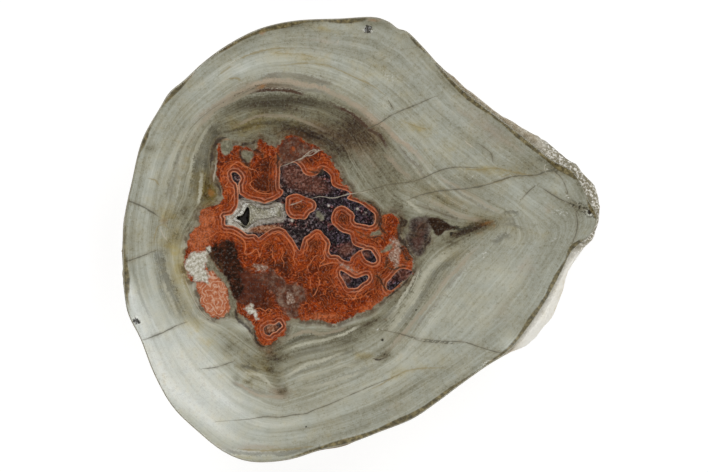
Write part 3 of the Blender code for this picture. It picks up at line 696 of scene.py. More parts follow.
# %% Marks for the lines
def near_line(places, numbers):
    """Which places lie near an open line, and for those the distance, the side, and how full the
    line is there: 1 along it, falling to 0 at both ends."""
    line = smooth_line(numbers, closed=False)
    low, high = line.min(axis=0) - 6.0, line.max(axis=0) + 6.0
    close = np.flatnonzero(((places > low) & (places < high)).all(axis=1))
    distance, side, along = nearest(places[close], *pieces_of([line], closed=False))
    return close, distance, side, smoothstep(0.0, 0.2, along) * smoothstep(1.0, 0.8, along)


def line_marks(places, strokes):
    """To which side of the nearest line a place lies, in half widths, and how far off it is, in mm.
    A line's half width shrinks to a quarter at its ends."""
    side, away = np.full(len(places), FAR), np.full(len(places), FAR)
    for half_width, numbers in strokes:
        close, distance, sign, full = near_line(places, numbers)
        widths = distance / (half_width * (0.25 + 0.75 * full))
        nearer = widths < np.abs(side[close])
        side[close[nearer]] = (widths * sign)[nearer]
        away[close[nearer]] = distance[nearer]
    return side, away


LINES = {"crack": CRACKS, "vein": VEINS, "pale_line": PALE_LINES, "lace_line": LACE_LINES, "seam": SEAMS}
for name, strokes in LINES.items():
    for key in (name, name + "_away"):
        marks[key] = np.full(len(places), FAR)
    marks[name][: len(flat)], marks[name + "_away"][: len(flat)] = line_marks(flat, strokes)
print("lines laid down:", sum(map(len, LINES.values())))

# %% [markdown]
# ## Bands that catch the eye
# The grey bands are not all alike: a creamy one arches over the core, a nearly black one lies
# under it, and pale and greenish ones run off to the right. Noise alone would put them anywhere.
# So these are laid down as lines too, in four kinds by colour. Each has its strength, its half
# width and its points. How far a point lies to one side of the nearest line is stored as an
# angle: nothing on the line, and half a turn at three half widths to either side. Far left and
# far right are then the same angle, so no false line appears halfway between two bands. The angle
# is kept as its cosine and its sine, which both change smoothly from one point to the next.

# %% Cream and pale bands
CREAM_BANDS = [
    (0.66, 0.6, [-43.5,27.4, -38,32, -33,35.5, -28,38.3, -22,39.8, -16,39.4, -10,38.1, -5,36, 0,33,
      4,29.8, 7,27.2, 9.5,25.2, 13,22.6, 16,19.5, 18.5,16.8]),
    (0.38, 0.45, [-41.4,27.6, -36.5,32, -31.5,35, -27.5,36.8, -24,38]),
    (0.29, 0.35, [-33,27.9, -30,29.3, -27,30.3, -23,30.9, -17,30.6, -11,28.4, -8,26.8]),
    (0.41, 0.3, [-18.6,-24.6, -14,-23.1, -10,-23.3, -6,-22.8, -3,-21.7]),
    (0.5, 0.22, [-32,-35.6, -29.8,-36.6, -27,-38, -24,-39, -21,-39.6, -18,-39.2]),
    (0.38, 0.5, [31,-0.4, 27.6,-3.6, 24.4,-7, 21.4,-10.4, 18.8,-13.8, 16.2,-17, 13.6,-20, 11.4,-22.8,
      8.4,-26.4, 5,-29]),
    (0.41, 0.6, [5.8,21.8, 8.6,19.2, 10.6,17, 12.4,14.8]),
    (0.29, 0.45, [18.5,16.8, 22,14.4, 26,12.2, 30,9.8, 33.4,7.6, 35.4,6.2]),
    (0.38, 0.5, [16.5,10.6, 20,8.6, 24,6.6, 28,5.2, 31,4.6]),
    (0.14, 0.5, [22,35, 29,29.4, 36,25, 42,21.6]),
]
PALE_BANDS = [
    (0.55, 0.2, [-30,-33.6, -27.6,-33.5, -25.4,-34, -23.8,-34.8, -22.6,-35.6, -21.2,-37.4]),
    (0.35, 0.5, [-49.6,11, -48.4,16, -46.6,21, -44.6,25, -42.4,28.6]),
    (0.35, 0.45, [-45.4,16, -44.6,20, -43.4,23.6, -41.8,27, -39,30.2]),
    (0.35, 0.35, [-43.4,12, -42.8,16, -42,19.5, -40.8,23, -39.3,26.5, -37,29.4]),
    (0.58, 0.3, [-40.6,8.6, -39.9,13, -39.4,17]),
    (0.46, 0.3, [-49.5,-9.2, -48.2,-13, -46.4,-17, -45.2,-19.4]),
    (0.2, 1.2, [-48.4,-2, -46.8,-8, -45.2,-12, -43.2,-15.5, -41,-19]),
    (0.46, 0.35, [-45.2,-7, -44.2,-11.4, -42.6,-15.6, -40.4,-19, -37.4,-21.4, -33.5,-22.8]),
    (0.2, 0.6, [-54.8,-10, -53,-16, -50,-21.6, -47,-26]),
    (0.58, 0.35, [-20,-28.3, -16,-26.6, -12,-25.4, -8,-24.8, -4,-23.7, -1.4,-22.2, 0.6,-21]),
    (0.5, 0.3, [-19.6,-34.7, -16,-32.6, -13,-30.8, -9,-29.6, -6,-28.8, -3,-28]),
    (0.3, 0.35, [-17,-35.6, -11,-33.6, -5,-31.8, 0,-31]),
    (0.45, 0.3, [-16,-37.6, -12,-36.8, -9,-36, -3,-34.2, 1,-32.4]),
    (0.3, 0.25, [6.5,-20, 7.6,-18.8, 8.8,-17]),
    (0.58, 0.2, [14.8,-6, 13.9,-9, 12.4,-12, 10.4,-15, 8.8,-17.4, 7.2,-19.6]),
    (0.43, 0.8, [27,-0.2, 22.5,-3, 18.5,-6, 16,-9, 14.2,-12.8, 12,-16.4, 9.6,-19.6, 7.4,-22.4,
      4.8,-25.4]),
    (0.14, 0.5, [28,-8, 24.6,-12.4, 21,-17.4, 17.6,-22]),
    (0.17, 1, [43,-3, 41,-8, 38,-13, 33.6,-18, 28,-23]),
    (0.17, 0.8, [51,-6, 49,-11, 46,-16, 42.4,-20.6, 38.4,-24.4]),
    (0.46, 0.3, [11.4,9.6, 13.6,8.1, 15.6,7]),
    (0.14, 0.8, [10,29.4, 17,24, 24,19.6]),
]
print("cream bands:", len(CREAM_BANDS), " pale bands:", len(PALE_BANDS))

# %% Dark and brown bands
DARK_BANDS = [
    (0.36, 1.3, [-37,30.4, -31,33.8, -25,35, -20,35.4, -14,34.8, -8,33.2, -3,30.4]),
    (0.35, 0.5, [-34,-52.4, -28,-53.6, -20,-53.4, -12,-51.8]),
    (0.44, 0.45, [-27,33.1, -23,33.7, -18,33.5]),
    (0.28, 0.5, [-32,26.8, -28,28.6, -23,29.4, -18,28.8, -13,26.9]),
    (0.24, 0.8, [-48.2,9, -47.2,14, -45.6,19, -43.6,24, -41,28]),
    (0.4, 1, [-41.6,9.5, -41.2,14, -40.8,18, -39.8,22, -38.4,26, -36.2,28.6, -33,30.6]),
    (0.56, 0.8, [-38.6,15, -38.4,20, -37.8,23.5, -36.6,26, -34.6,27.2]),
    (0.36, 1.1, [-50.2,-1, -50,-4, -49,-8, -47.8,-12, -46.2,-15.5, -44.6,-18.6, -43,-20.6]),
    (0.16, 0.35, [-51,-7, -50.2,-11, -48.6,-15.6, -46.4,-20]),
    (0.16, 0.4, [-57,-6, -55.8,-11, -54,-16, -51.6,-20.4]),
    (0.4, 0.55, [-19,-26, -14.5,-24.4, -9,-24, -5,-23.2]),
    (0.24, 1.1, [-19,-30.4, -12,-27.6, -6,-26, -1,-24]),
    (0.2, 0.4, [-18,-34.2, -13,-32, -8,-30, -3,-28.2, 0,-27]),
    (0.2, 0.5, [-16,-37.8, -11,-36.4, -5,-34.6, 0,-32.4, 4,-30.8]),
    (0.4, 0.6, [-30,-31.6, -27,-32, -25.4,-33]),
    (0.9, 0.5, [21.4,3.3, 24,3, 25.2,2.6, 27,3, 28.4,3.2]),
    (0.32, 0.7, [15.4,-4.6, 14.4,-8, 12.6,-12, 10,-15.6, 7,-18.8, 4,-21.2]),
    (0.24, 0.8, [28,-1.4, 24.4,-4, 20.6,-7, 18,-10, 15.8,-13.6, 13.4,-17, 11,-20.2, 8.8,-23]),
    (0.32, 0.35, [34.6,5.6, 36.6,6.8, 38.4,7, 40,6.2]),
    (0.28, 0.3, [35.4,3.8, 38,4, 39.8,3.4, 41,2.4]),
    (0.2, 0.4, [34.6,4.8, 37,5.4, 39,5]),
    (0.32, 0.7, [33,-1, 34.4,0, 36,1, 38,0.6]),
]
BROWN_BANDS = [
    (0.24, 0.4, [-42,28.4, -37,32.6, -32,35.6, -28,37.4, -23,38.7, -16,38.2, -9,36.6, -3,33.9]),
    (0.32, 0.8, [-26.5,40.3, -20,41.3, -15,40.8, -10,39.8, -7,38.6]),
    (0.8, 0.3, [-28.6,36.3, -24,37.3, -20,37.5, -16,37, -13,36.2]),
    (0.95, 0.4, [-9.4,34.8, -5,33.2, -2,31.2, 1.5,28.6, 4.5,26.2, 6.3,24, 7.4,22.4]),
    (0.24, 0.5, [-33,-35.4, -29.6,-36.8, -26,-37.6, -22.4,-38.6]),
    (0.2, 0.4, [29.5,-3.4, 26,-7.2, 22.6,-11, 20,-14.4, 17.4,-17.6, 14.8,-20.8, 12.6,-23.4]),
    (0.24, 0.5, [9,24.2, 12,20.8, 14.6,17.6, 17,15]),
    (0.2, 0.4, [21,14.2, 24,12.4, 27.4,10.2, 31,8, 33.4,6.4]),
    (0.24, 0.6, [14,9.6, 18,7.6, 22,6.2, 26,4.6]),
]
print("dark bands:", len(DARK_BANDS), " brown bands:", len(BROWN_BANDS))

# %% Marks for the bands
def band_marks(places, rows):
    """The cosine and sine of the angle to the nearest band, and its strength, which fades at both
    ends."""
    spots = np.column_stack([places, np.zeros(len(places))])
    pushed = places + np.column_stack([waves(spots, 6.0, 8, 41), waves(spots, 6.0, 8, 42)]) * 0.14
    side, strong = np.ones(len(places)), np.zeros(len(places))
    for strength, half_width, numbers in rows:
        close, distance, sign, full = near_line(pushed, numbers)
        share = distance / (3.0 * max(half_width, 0.4))
        nearer = share < np.abs(side[close])
        side[close[nearer]] = (share * sign)[nearer]
        strong[close[nearer]] = (strength * full)[nearer]
    return np.cos(math.pi * side), np.sin(math.pi * side), strong


BANDS = {"cream_band": CREAM_BANDS, "pale_band": PALE_BANDS, "dark_band": DARK_BANDS,
         "brown_band": BROWN_BANDS}
for name, rows in BANDS.items():
    for part, values in zip(("_cosine", "_sine", "_strength"), band_marks(flat, rows)):
        marks[name + part] = np.zeros(len(places))
        marks[name + part][: len(flat)] = values
print("bands laid down:", sum(map(len, BANDS.values())))

# %% [markdown]
# ## Clouds of tone
# Between the lines the stone changes tone slowly: paler at the lower left, dark olive inside the
# arc above the core, stained purple-brown beside it. A painter would lay soft washes, and this
# does the same. Each wash is an oval, given by its middle, its two half sizes, its turn, and how
# much it adds. It fades as a bell curve does.

# %% Shade on the grey stone
SHADE = [
    (-42, -33, 18, 9, -50, 0.32), (-52, -12, 16, 5, 80, 0.14), (-20, 34.6, 12, 1.8, 0, -0.2),
    (-40, -23, 5, 3, -30, 0.14), (-54, 4, 3, 9, 0, 0.08), (1, -25, 4, 2, 20, 0.14),
    (0, 47, 12, 4, -12, 0.06), (-24, -48, 18, 5, 12, 0.1), (12, -36, 22, 6, 28, 0.02),
    (33, -9, 5, 5, 60, 0.08), (36, 18, 12, 5, -35, -0.02), (4, 48, 14, 5, -14, -0.06),
    (-37, 37, 8, 3, 42, 0.04), (-20, 43, 15, 2, 3, 0.12), (-4, 38.5, 4, 2, -20, 0.1),
    (-22, 33.6, 11, 2.6, 3, -0.2), (-34, 29, 6, 3, 45, -0.12), (-8, 30, 7, 4, -32, -0.16),
    (0, 26, 7, 4, -46, -0.34), (-2, 29.4, 4, 2.2, -40, -0.16), (-19, 28, 9, 2, 0, -0.12),
    (-13, 26.4, 6, 1.8, -12, -0.24), (-42, 17, 10, 3, 78, -0.03), (1, -22.4, 4.5, 1.6, 45, -0.2),
    (-4, -25, 4, 1, 8, -0.16), (-12, -28.5, 10, 3, 22, 0.02), (-22, -29.4, 4, 1.3, 8, -0.2),
    (-22.8, -32.4, 1.2, 0.6, 0, -0.24), (19.2, 3.6, 0.9, 0.8, 0, -0.34), (-46, -2, 4, 12, 6, -0.06),
    (-43.8, 7.4, 1.9, 1, 62, -0.26), (-46, 0.6, 1.2, 1.4, 0, -0.16), (-41, -23, 5, 4, 0, 0.04),
    (-20, -38, 0.6, 0.7, 0, -0.34), (-18.8, -37.7, 0.8, 1.2, 0, -0.3),
    (-21.6, -33.4, 2, 2.6, 35, -0.18), (-20.6, -30, 2.4, 0.9, 8, -0.14),
    (-31, -34.7, 0.9, 0.8, 0, -0.2), (-27.8, -35.4, 1.4, 0.5, 15, -0.26),
    (25.4, 1.8, 4, 1.1, 14, -0.42), (23, -0.7, 1.6, 0.6, 20, -0.2), (20, -1.4, 5, 1.5, 10, -0.1),
    (11.2, 2.6, 1, 3, 0, -0.1), (-5, 22.4, 4, 3, -30, -0.2), (6.2, -28.8, 1.8, 1.1, 30, -0.34),
    (10, -30, 4, 2, 30, 0.1), (49, 19.4, 3.4, 1.6, -20, -0.34), (55.6, 7.8, 3, 1, -12, -0.2),
    (55, 14, 1, 3, 15, -0.2), (56.6, 12.6, 1, 4, 18, 0.1), (51, 12, 5, 7, 0, -0.08),
    (48, 14, 3, 2.4, -30, 0.14), (28.5, 14.8, 3.4, 1.2, 0, -0.14), (41.6, 18.6, 3, 1.6, 0, -0.1),
    (40, 10, 5, 3, 60, 0.05), (5, 34, 3, 4, -30, 0.08), (-21, 39.3, 9, 1.6, 0, -0.06),
    (-52, 22.8, 1.4, 1, 20, -0.18), (-33, -27, 1.8, 1.6, 30, -0.16), (-29, 42, 8, 2.4, 25, 0.1),
    (24, -16, 10, 3, 50, 0.05), (5, -20, 3, 1, 20, -0.14), (-2.5, -20.6, 4, 0.7, 10, 0.26),
    (4, -18.6, 3, 0.6, 30, 0.2), (-10, -21.5, 5, 0.8, 0, 0.06), (-42, 23, 10, 5, 65, 0.03),
    (-51, 2, 2.4, 5, 0, -0.06), (-54, -20, 8, 3, 70, 0.06), (-2, 22, 1.6, 1, -60, 0.14),
    (0.8, 21.4, 1.8, 0.9, -50, 0.12), (9.6, 8.6, 1.2, 1.8, 20, -0.2), (8.6, 18.4, 3, 1.4, -50, -0.1),
    (18, 22, 7, 4, -40, 0.03), (-29, 50, 8, 1.2, 28, -0.12), (-17, 53.4, 5, 1, 5, -0.2),
    (-44.6, -9, 1, 4, 20, 0.06), (-30.4, -20, 1.4, 2.4, 35, -0.1), (-14, -34, 8, 3, 20, 0.03),
    (-57.6, -12.4, 4, 1.8, -75, 0.18), (-51, -30, 13, 4, -60, 0.08), (-43, -40.5, 8, 4, -38, 0.07),
    (-34, -44, 7, 4, 0, 0.09), (-26, -53.4, 9, 1.4, 0, 0.2), (-52, 15, 9, 1.8, 80, 0.14),
    (-44.6, -3, 3, 4, 0, 0.28), (-43.4, -10, 3, 6, 15, 0.2), (-29, -21.4, 2.6, 2, 0, 0.36),
    (-34, -21, 4, 1.6, -10, 0.14), (-15, -46, 14, 3, 10, 0.05), (6, -36, 20, 2.6, 26, 0.09),
    (25, -20, 16, 6, 45, 0.09), (37.6, -26, 3, 2, 0, 0.12), (46, -15, 9, 1.8, 58, 0.14),
    (38, -25, 3, 2.4, 30, 0.08), (36, -8, 6, 3, 60, 0.07), (45, 7.5, 5, 4, 0, 0.11),
    (51, 13, 2.6, 2.4, 0, 0.16), (17.5, 27.5, 7, 4, -38, 0.07), (22, 39, 4, 2, -38, -0.12),
    (28, 19, 9, 3, -38, 0.09), (38, 12.4, 6, 3, -35, 0.09), (-19, 46, 9, 2.4, 0, 0.09),
    (0, 41, 9, 1.8, -6, 0.12), (-39, 34, 6, 1.2, 42, 0.1), (-28, 37.7, 5, 1.2, 12, -0.2),
    (-12, 25, 7, 1.8, -25, -0.22), (-24, 25.4, 7, 1.4, 0, -0.2), (5.6, 16.3, 3, 4, -30, -0.14),
    (5, 27, 4, 4, 0, -0.1), (-38.4, 13, 2, 4.4, 5, -0.15), (30, 3.8, 4, 1.5, 10, -0.24),
    (20, 5, 3, 1.4, 10, -0.12), (13.4, -9.6, 1.4, 3, -20, -0.2), (-21, -26.6, 3, 2, 0, -0.22),
    (-29, -31.4, 3, 1.6, 0, -0.14), (-21, -36.6, 1.8, 2.4, 0, -0.1), (-4, -22.7, 3.6, 1, 10, -0.14),
    (-50, -5, 1.4, 10, 5, -0.08), (8, 13, 3, 5, -30, -0.12), (10.6, 4.6, 1.6, 2.4, 0, -0.2),
    (2, 20, 6, 3, -40, -0.04), (6.6, 25, 1.8, 3, 30, -0.12), (16, 12, 8, 3, -25, -0.06),
    (33, 3, 5, 3, 0, -0.07), (35, -14, 2.5, 3, 0, -0.1), (-57.8, -12.6, 5, 2, -75, 0.12),
    (-48.4, -24, 8, 3, -62, 0.08), (-50, -34.6, 9, 1.4, -60, 0.06), (-28, -40, 10, 2.4, -8, 0.09),
    (26, -30, 6, 2, 36, 0.08), (38, -19, 7, 1.6, 52, 0.1), (17.5, -7, 5, 1.2, 50, 0.12),
    (6.4, -19, 5, 1.4, 42, 0.1), (-42.6, -6, 2, 5, 10, 0.12), (-48.6, 1.6, 1.4, 1.8, 0, 0.1),
    (-19, 53.6, 6, 1, 4, -0.1), (4, 54, 5, 1, -6, -0.16), (-56.5, -18, 8, 2.4, -72, 0.14),
    (-51, -31, 9, 2.2, -62, 0.18), (-44, -40, 8, 2.2, -45, 0.16), (-36, -47, 7, 2.2, -35, 0.1),
    (-38, -36, 13, 7, -45, 0.09), (38, -26.5, 2, 2, 0, 0.12), (12, -18, 4, 1, 55, 0.12),
    (38, 0, 3, 3, 0, 0.08), (0, -37, 9, 1.6, 20, 0.09), (-41, -12, 1.6, 6, 15, 0.12),
]
print("ovals of shade:", len(SHADE))

# %% Colour on the grey stone
PINK = [
    (-22, 38.6, 9, 1.4, 0, 0.7), (-38, 32, 6, 2, 40, 0.35), (2, 29, 7, 3, -42, 0.6),
    (0, 24, 7, 5, -50, 0.6), (24, -7, 11, 1.6, 48, 0.4), (11, -23, 8, 1.6, 42, 0.3),
    (24, 9, 8, 2.6, -25, 0.4), (-28, -52, 8, 1, 0, 0.6), (14, 1, 5, 4, 0, 0.6),
    (-37, 16, 1, 2.4, 0, 0.9), (30, 3.6, 4, 1.4, 15, 0.6), (-20, -38.5, 3, 2, 0, 0.7),
    (-22.6, -28, 1.6, 2.4, 0, 0.9), (34, 27, 10, 3, -38, 0.55), (-18, 27, 8, 2, 0, 0.5),
    (-8, 27, 7, 2.4, -30, 0.7), (42, -7, 3, 3, 60, 0.4), (36, -19, 4, 3, 50, 0.35),
    (13, 18, 6, 3, -50, 0.3), (-10, 49, 6, 3, 0, 0.3), (8, -42, 6, 2, 28, 0.3),
    (-44, 22, 10, 3, 65, 0.2), (47, 8, 2, 2, 0, 0.4), (-48.6, 4.6, 1.6, 1, 0, 0.5),
]
YELLOW = [
    (-47, -2, 4.4, 13, 6, 0.5), (-41, -20, 5, 5, -20, 0.35), (-43.5, -9, 3, 6, 10, 0.5),
    (-38.2, 12, 2.4, 5, 5, 0.9), (-38, -26, 4, 2, -30, 0.4), (31, 4, 4, 2, 10, 0.5),
    (-24, -30, 8, 4, 0, 0.3), (33, 17.5, 9, 1.4, -4, 0.5), (-37, 11.6, 1, 2, 10, 0.8),
    (-22, 29, 14, 3, 0, 0.5), (-42, 16, 3, 12, 8, 0.3), (-30, -54.5, 9, 0.8, 0, 0.5),
    (-15, 45.5, 9, 1.2, -8, 0.4), (12, -33, 9, 1.5, 15, 0.3), (1, -29, 2.4, 1, 0, 0.6),
    (-28, 29, 6, 2, 20, 0.4), (-47.6, 35.6, 3, 1, 50, 0.5), (-48.4, 6, 2, 1.4, 0, 0.4),
    (2, 43, 8, 3, -25, 0.2), (14, 28, 4, 1.2, -15, 0.4), (22, 10.6, 8, 3, -25, 0.35),
    (20, 24, 9, 5, -40, 0.25), (-24, -33, 8, 3, 0, 0.3), (22, -4, 8, 3, 45, 0.3),
    (-8, 52.6, 5, 0.8, -8, 0.5),
]
print("pink ovals:", len(PINK), " yellow ovals:", len(YELLOW))

# %% Colour in the core
BROWN = [
    (-23.5, 13.6, 3.4, 1.8, -10, 1.7), (-12, -0.8, 2, 1.3, 0, 1), (-15.6, 8.4, 2.2, 1.5, 0, 1.2),
    (-4, 5.6, 1.8, 1.6, 0, 1.4), (-7.4, -13.6, 4.4, 2.2, 0, 0.5), (-12, -7.6, 1.2, 3, 10, 0.7),
    (-11.4, -13, 1.4, 1.6, 0, 0.9), (-23.5, 18.2, 2.6, 2.4, 0, 1.1), (-28.4, 17.6, 1.6, 2.2, 0, 0.6),
    (-20, -6.4, 3, 1.2, 0, 1), (-18.6, -4.6, 0.9, 2, 0, 0.7), (-22.5, -4.4, 1, 2, 0, 0.6),
    (-25, -13.6, 3.4, 3, 0, 1.2), (-24.4, -16.6, 3, 1.2, 0, 0.9), (4.5, -10.4, 3, 3, 0, 0.7),
    (8, -7, 3, 2.4, 0, 0.6), (12, -4, 1.4, 3, 0, 0.5), (1.2, -6.5, 2, 1, 0, 0.3),
    (-1, -4, 1.6, 0.8, 20, 0.8), (-13.5, 19.8, 2.4, 1, 0, 1), (-8.4, -6.8, 1.6, 1, 0, 0.6),
    (-7, -10.4, 1.2, 2, 0, 0.6), (4.4, 4.4, 1, 2.6, 20, 1), (-24.4, 2.8, 4.4, 0.9, 6, 1),
    (-22.4, 2.6, 3, 0.8, 0, 0.8), (-34.8, -0.2, 3, 0.6, 20, 0.4), (-2.6, -13, 1.6, 1.4, 0, 0.4),
    (-18.6, -8.6, 1.6, 1.4, 0, 0.8), (-15, -9.8, 1.4, 1.4, 0, 0.8), (-28, 21.6, 1.4, 2, 0, 0.4),
    (1.4, -13.6, 1, 1, 0, 0.4), (-5.4, 8, 1.4, 1, 0, 0.3), (-22.2, -22.2, 2, 1.2, 20, 1),
    (-5, -6.6, 1.4, 1.2, 0, 0.6),
]
PALE_RED = [
    (-38.6, 3, 3, 4, 20, 1), (-41, -0.4, 2.4, 2.4, 0, 1.3), (-38, 6.4, 2.4, 2, 0, 0.7),
    (-36, -14, 4, 5, 0, 0.5), (-23, -22, 2.2, 1.2, 20, 0.6), (9, -3.4, 0.9, 3, 8, 1.6),
    (-17, 22.5, 3, 3, 0, 0.3), (-14.5, -17, 1.2, 2.5, 0, 0.4), (5, -13, 3, 3, 0, 0.1),
    (-9, -19.2, 5, 1.2, 0, 1), (3, -16.6, 5, 1.6, 35, 0.7), (-33, -17, 2, 2, 0, 0.4),
    (-12.2, 17.9, 0.8, 0.4, 0, 1.6), (6.5, -2.2, 1.4, 0.8, 20, 0.6), (11.8, -5.4, 1.2, 1.6, 0, 0.5),
    (-1.4, -7.6, 3.4, 1.2, -20, 0.7), (-20.6, -2, 3, 3, 0, 0.12), (-36.6, 17, 0.8, 3, 0, 0.6),
]
AMETHYST = [
    (-13.5, 14.4, 4.5, 2, 0, 1.2), (-17, 17, 2.5, 2.2, 0, 1), (-3.4, -2.4, 2.6, 1.8, 20, 0.9),
    (-3.6, -9.6, 1.6, 1.2, -30, 1), (-10, 12.5, 4, 1.5, 0, 0.5), (1.6, -3.6, 1.2, 1, 0, 0.9),
    (-31, 15.6, 0.9, 0.9, 0, 0.1), (11, -8.8, 2, 1.6, 20, 1), (-13.4, 7.8, 1, 3, 0, 0.3),
]
MILKY = [
    (-32.4, 5.4, 1.2, 1.8, 0, 0.8), (-31.4, 8, 1, 1.4, 30, 1.2), (-27, 9.4, 2, 0.4, -10, 0.5),
    (-28.6, 2.6, 2.4, 0.8, -10, 0.9), (-20, 8.6, 1.2, 0.7, 0, 0.9), (-31.6, 3.6, 2, 0.6, 0, 0.5),
    (-0.6, 7.8, 0.5, 0.4, 0, 0.8), (1.4, 6.8, 0.4, 0.4, 0, 0.6), (-7.8, 8.6, 0.4, 0.4, 0, 0.9),
    (-17, 4.9, 0.5, 0.4, 0, 0.9), (-9.4, 5.8, 1, 1.6, -30, 0.4), (-11, 6.4, 0.6, 1.2, 0, 0.3),
]
print("brown ovals:", len(BROWN), " violet ovals:", len(AMETHYST))

# %% Stains, pits and sparkle
STAIN = [
    (-24.6, 38.4, 2, 0.7, 18, 0.9), (-16.6, 22.8, 0.6, 0.8, 0, 0.7), (-37.3, 11.8, 1, 1.4, 10, 1),
    (30.4, 3.6, 2.8, 0.8, 10, 0.3), (-38.4, 8.6, 2, 0.8, 20, 0.6), (-40, -24.6, 2, 0.8, 5, 0.4),
    (-20.2, -38.2, 2, 1.2, 0, 0.3), (32.2, 4.4, 2.4, 0.6, 20, 0.6), (33.6, 3.4, 0.8, 1, 0, 0.5),
    (25.4, 11.2, 1.6, 0.5, -25, 0.35), (-33, 48.6, 2.4, 0.8, 35, 0.9), (-24.4, 52.2, 1.2, 1.4, 0, 1),
    (-42.6, 41, 2, 0.8, 45, 0.8), (-4.6, 54.8, 2.4, 0.5, 0, 0.8), (3.4, 55, 2.4, 0.6, 0, 0.8),
    (-17, 45.3, 2, 0.5, 0, 0.5), (-17, 47.8, 2, 0.5, 0, 0.5), (2, 39.2, 2, 0.4, -20, 0.6),
    (30, 1.9, 1.6, 0.5, 15, 0.6), (-22.8, -28, 0.6, 1.2, 0, 0.5), (6, -20, 1.2, 0.6, 20, 0.7),
    (-53.6, 26, 0.8, 1.4, 20, 0.9), (-28, -54.8, 6, 0.5, 0, 0.3), (36, 17.6, 2, 0.5, 0, 0.4),
    (-33.6, 25, 1.4, 0.6, 0, 0.7), (-37, -21.2, 1.4, 0.5, -30, 0.4),
]
PITTED = [
    (49.6, 19, 4.6, 1.2, -20, 1.3), (56.4, 7.4, 2.6, 1.2, -30, 1.3), (56.8, 13, 1, 5, 18, 0.9),
    (53.4, 9, 1.6, 0.8, -20, 0.9), (13.6, 1, 2.6, 2.4, 0, 0.5), (-43, 4, 1.6, 2, 0, 0.5),
    (-44.6, -6, 1, 3, 10, 0.4), (-33, -27, 1.8, 1.6, 30, 0.4), (5.4, -28.8, 1.8, 0.8, 15, 0.8),
    (-22.6, -32, 2, 1, -40, 0.6), (-23, -29, 3, 1, 0, 0.5), (-56, -20.2, 1, 0.8, 0, 0.6),
    (-9.6, -51.6, 1, 0.8, 0, 0.8), (24, -35.5, 4, 0.6, 36, 0.5), (-46, 1, 1.6, 2, 0, 0.5),
    (47, 21.6, 2, 1, -40, 0.9),
]
SPARKLING = [
    (50.2, 7, 2.4, 0.9, -12, 1.1), (49, 0.4, 0.9, 0.5, 0, 1.3), (37, 1.4, 1.4, 0.5, 0, 0.9),
    (31, -3.8, 0.6, 1.6, -30, 0.9), (51.8, 10.6, 0.7, 1, 10, 1.4), (46.4, 18, 0.4, 1.3, 10, 1.2),
    (28.6, 15.6, 2.2, 0.7, 0, 0.8), (4.6, -22.3, 1.6, 0.35, 0, 1), (7.6, 40.6, 3.4, 2, -30, 0.55),
    (-45.1, 32.3, 0.6, 0.3, 0, 1.2), (-43.4, 16.8, 1.4, 0.6, 0, 0.7), (57.6, 6.4, 2, 1, -40, 0.9),
    (56.8, 12.6, 1, 5, 18, 1.1), (50, 20.2, 3, 0.6, -25, 0.7), (-12, 43, 14, 2, -8, 0.22),
    (30, -10, 4, 8, -30, 0.2), (-4, -51, 1, 0.8, 0, 0.9), (41, 11, 3, 2, 50, 0.2),
    (-50, 18, 3, 12, -12, 0.2), (-33, 37, 6, 2, 40, 0.2), (12, -1.4, 0.6, 0.6, 0, 0.8),
    (-9.6, -51.8, 1, 0.6, 0, 0.9),
]
BOLD = [
    (-30, 2.5, 3, 1.5, 0, 1), (-34.5, 6, 2, 2, 0, 1), (-31, 14, 1.6, 2.6, 0, 1),
    (-21.5, -22, 2.6, 1.6, 20, 1), (0, -13.4, 3, 1.4, 20, 0.8), (2, -2, 2, 1.2, 0, 0.8),
    (-28, 18, 3, 1.4, -20, 0.5),
]
RIM_BROWN = [
    (50, -9, 7, 3.6, 62, 1), (43, -20, 9, 3.6, 55, 1), (20, 43, 6, 3, -40, 0.5),
    (34, -30, 8, 3, 38, 0.8), (22, -39, 9, 3, 36, 1.1), (10, -46, 9, 3, 26, 1.2),
    (-4, -51, 9, 3, 12, 1.2), (-17, -54, 8, 3, 0, 0.7), (-58, 2, 3, 14, 0, 0.8),
    (-58, -12, 3, 8, 0, 0.7), (-54, 25, 3, 8, -20, 0.95), (-46, 38, 8, 3, 48, 1.1),
    (-33, 49, 9, 3, 32, 0.95), (-20, 54, 9, 3, 12, 1.1), (-3, 55, 9, 3, 0, 1.1),
    (42, 25, 10, 3, -38, 1.2), (52, 18, 5, 3, -30, 1.2), (58, 8, 3, 6, 20, 1), (14, 50, 6, 3, -40, 0.9),
    (54, -1, 4, 2, 40, 0.9), (28, 36, 9, 3, -38, 1.2),
]
print("stains:", len(STAIN), " pitted patches:", len(PITTED))

# %% Lay the washes down
def washes(places, ovals):
    """The sum of ovals that fade as bell curves."""
    total = np.zeros(len(places))
    for x, y, half_length, half_width, turn, amount in ovals:
        along = np.array([math.cos(math.radians(turn)), math.sin(math.radians(turn))])
        offset = places - (x, y)
        forth, side = offset @ along, offset @ np.array([-along[1], along[0]])
        total += amount * np.exp(-((forth / half_length) ** 2) - (side / half_width) ** 2)
    return total


WASHES = {"shade": SHADE, "pink": PINK, "yellow": YELLOW, "brown": BROWN, "pale_red": PALE_RED,
          "amethyst": AMETHYST, "milky": MILKY, "stain": STAIN, "rim_brown": RIM_BROWN, "pitted": PITTED,
          "sparkling": SPARKLING, "bold": BOLD}
for name, ovals in WASHES.items():
    marks[name] = np.zeros(len(places))
    marks[name][: len(flat)] = washes(flat, ovals)
print("washes laid down:", sum(map(len, WASHES.values())))

# %% [markdown]
# ## The stone's mesh
# The grid becomes a closed mesh: four-sided faces between the rings, and triangles round the
# middle of the face and round the middle of the ground spot. It also gets a flat pattern (a UV
# map): the face as seen from above, the rind as a strip, and the ground spot beside them.

# %% Build the mesh
RIND_STRIP = FACE_RINGS + 2
GROUND_START = len(rings) - 9


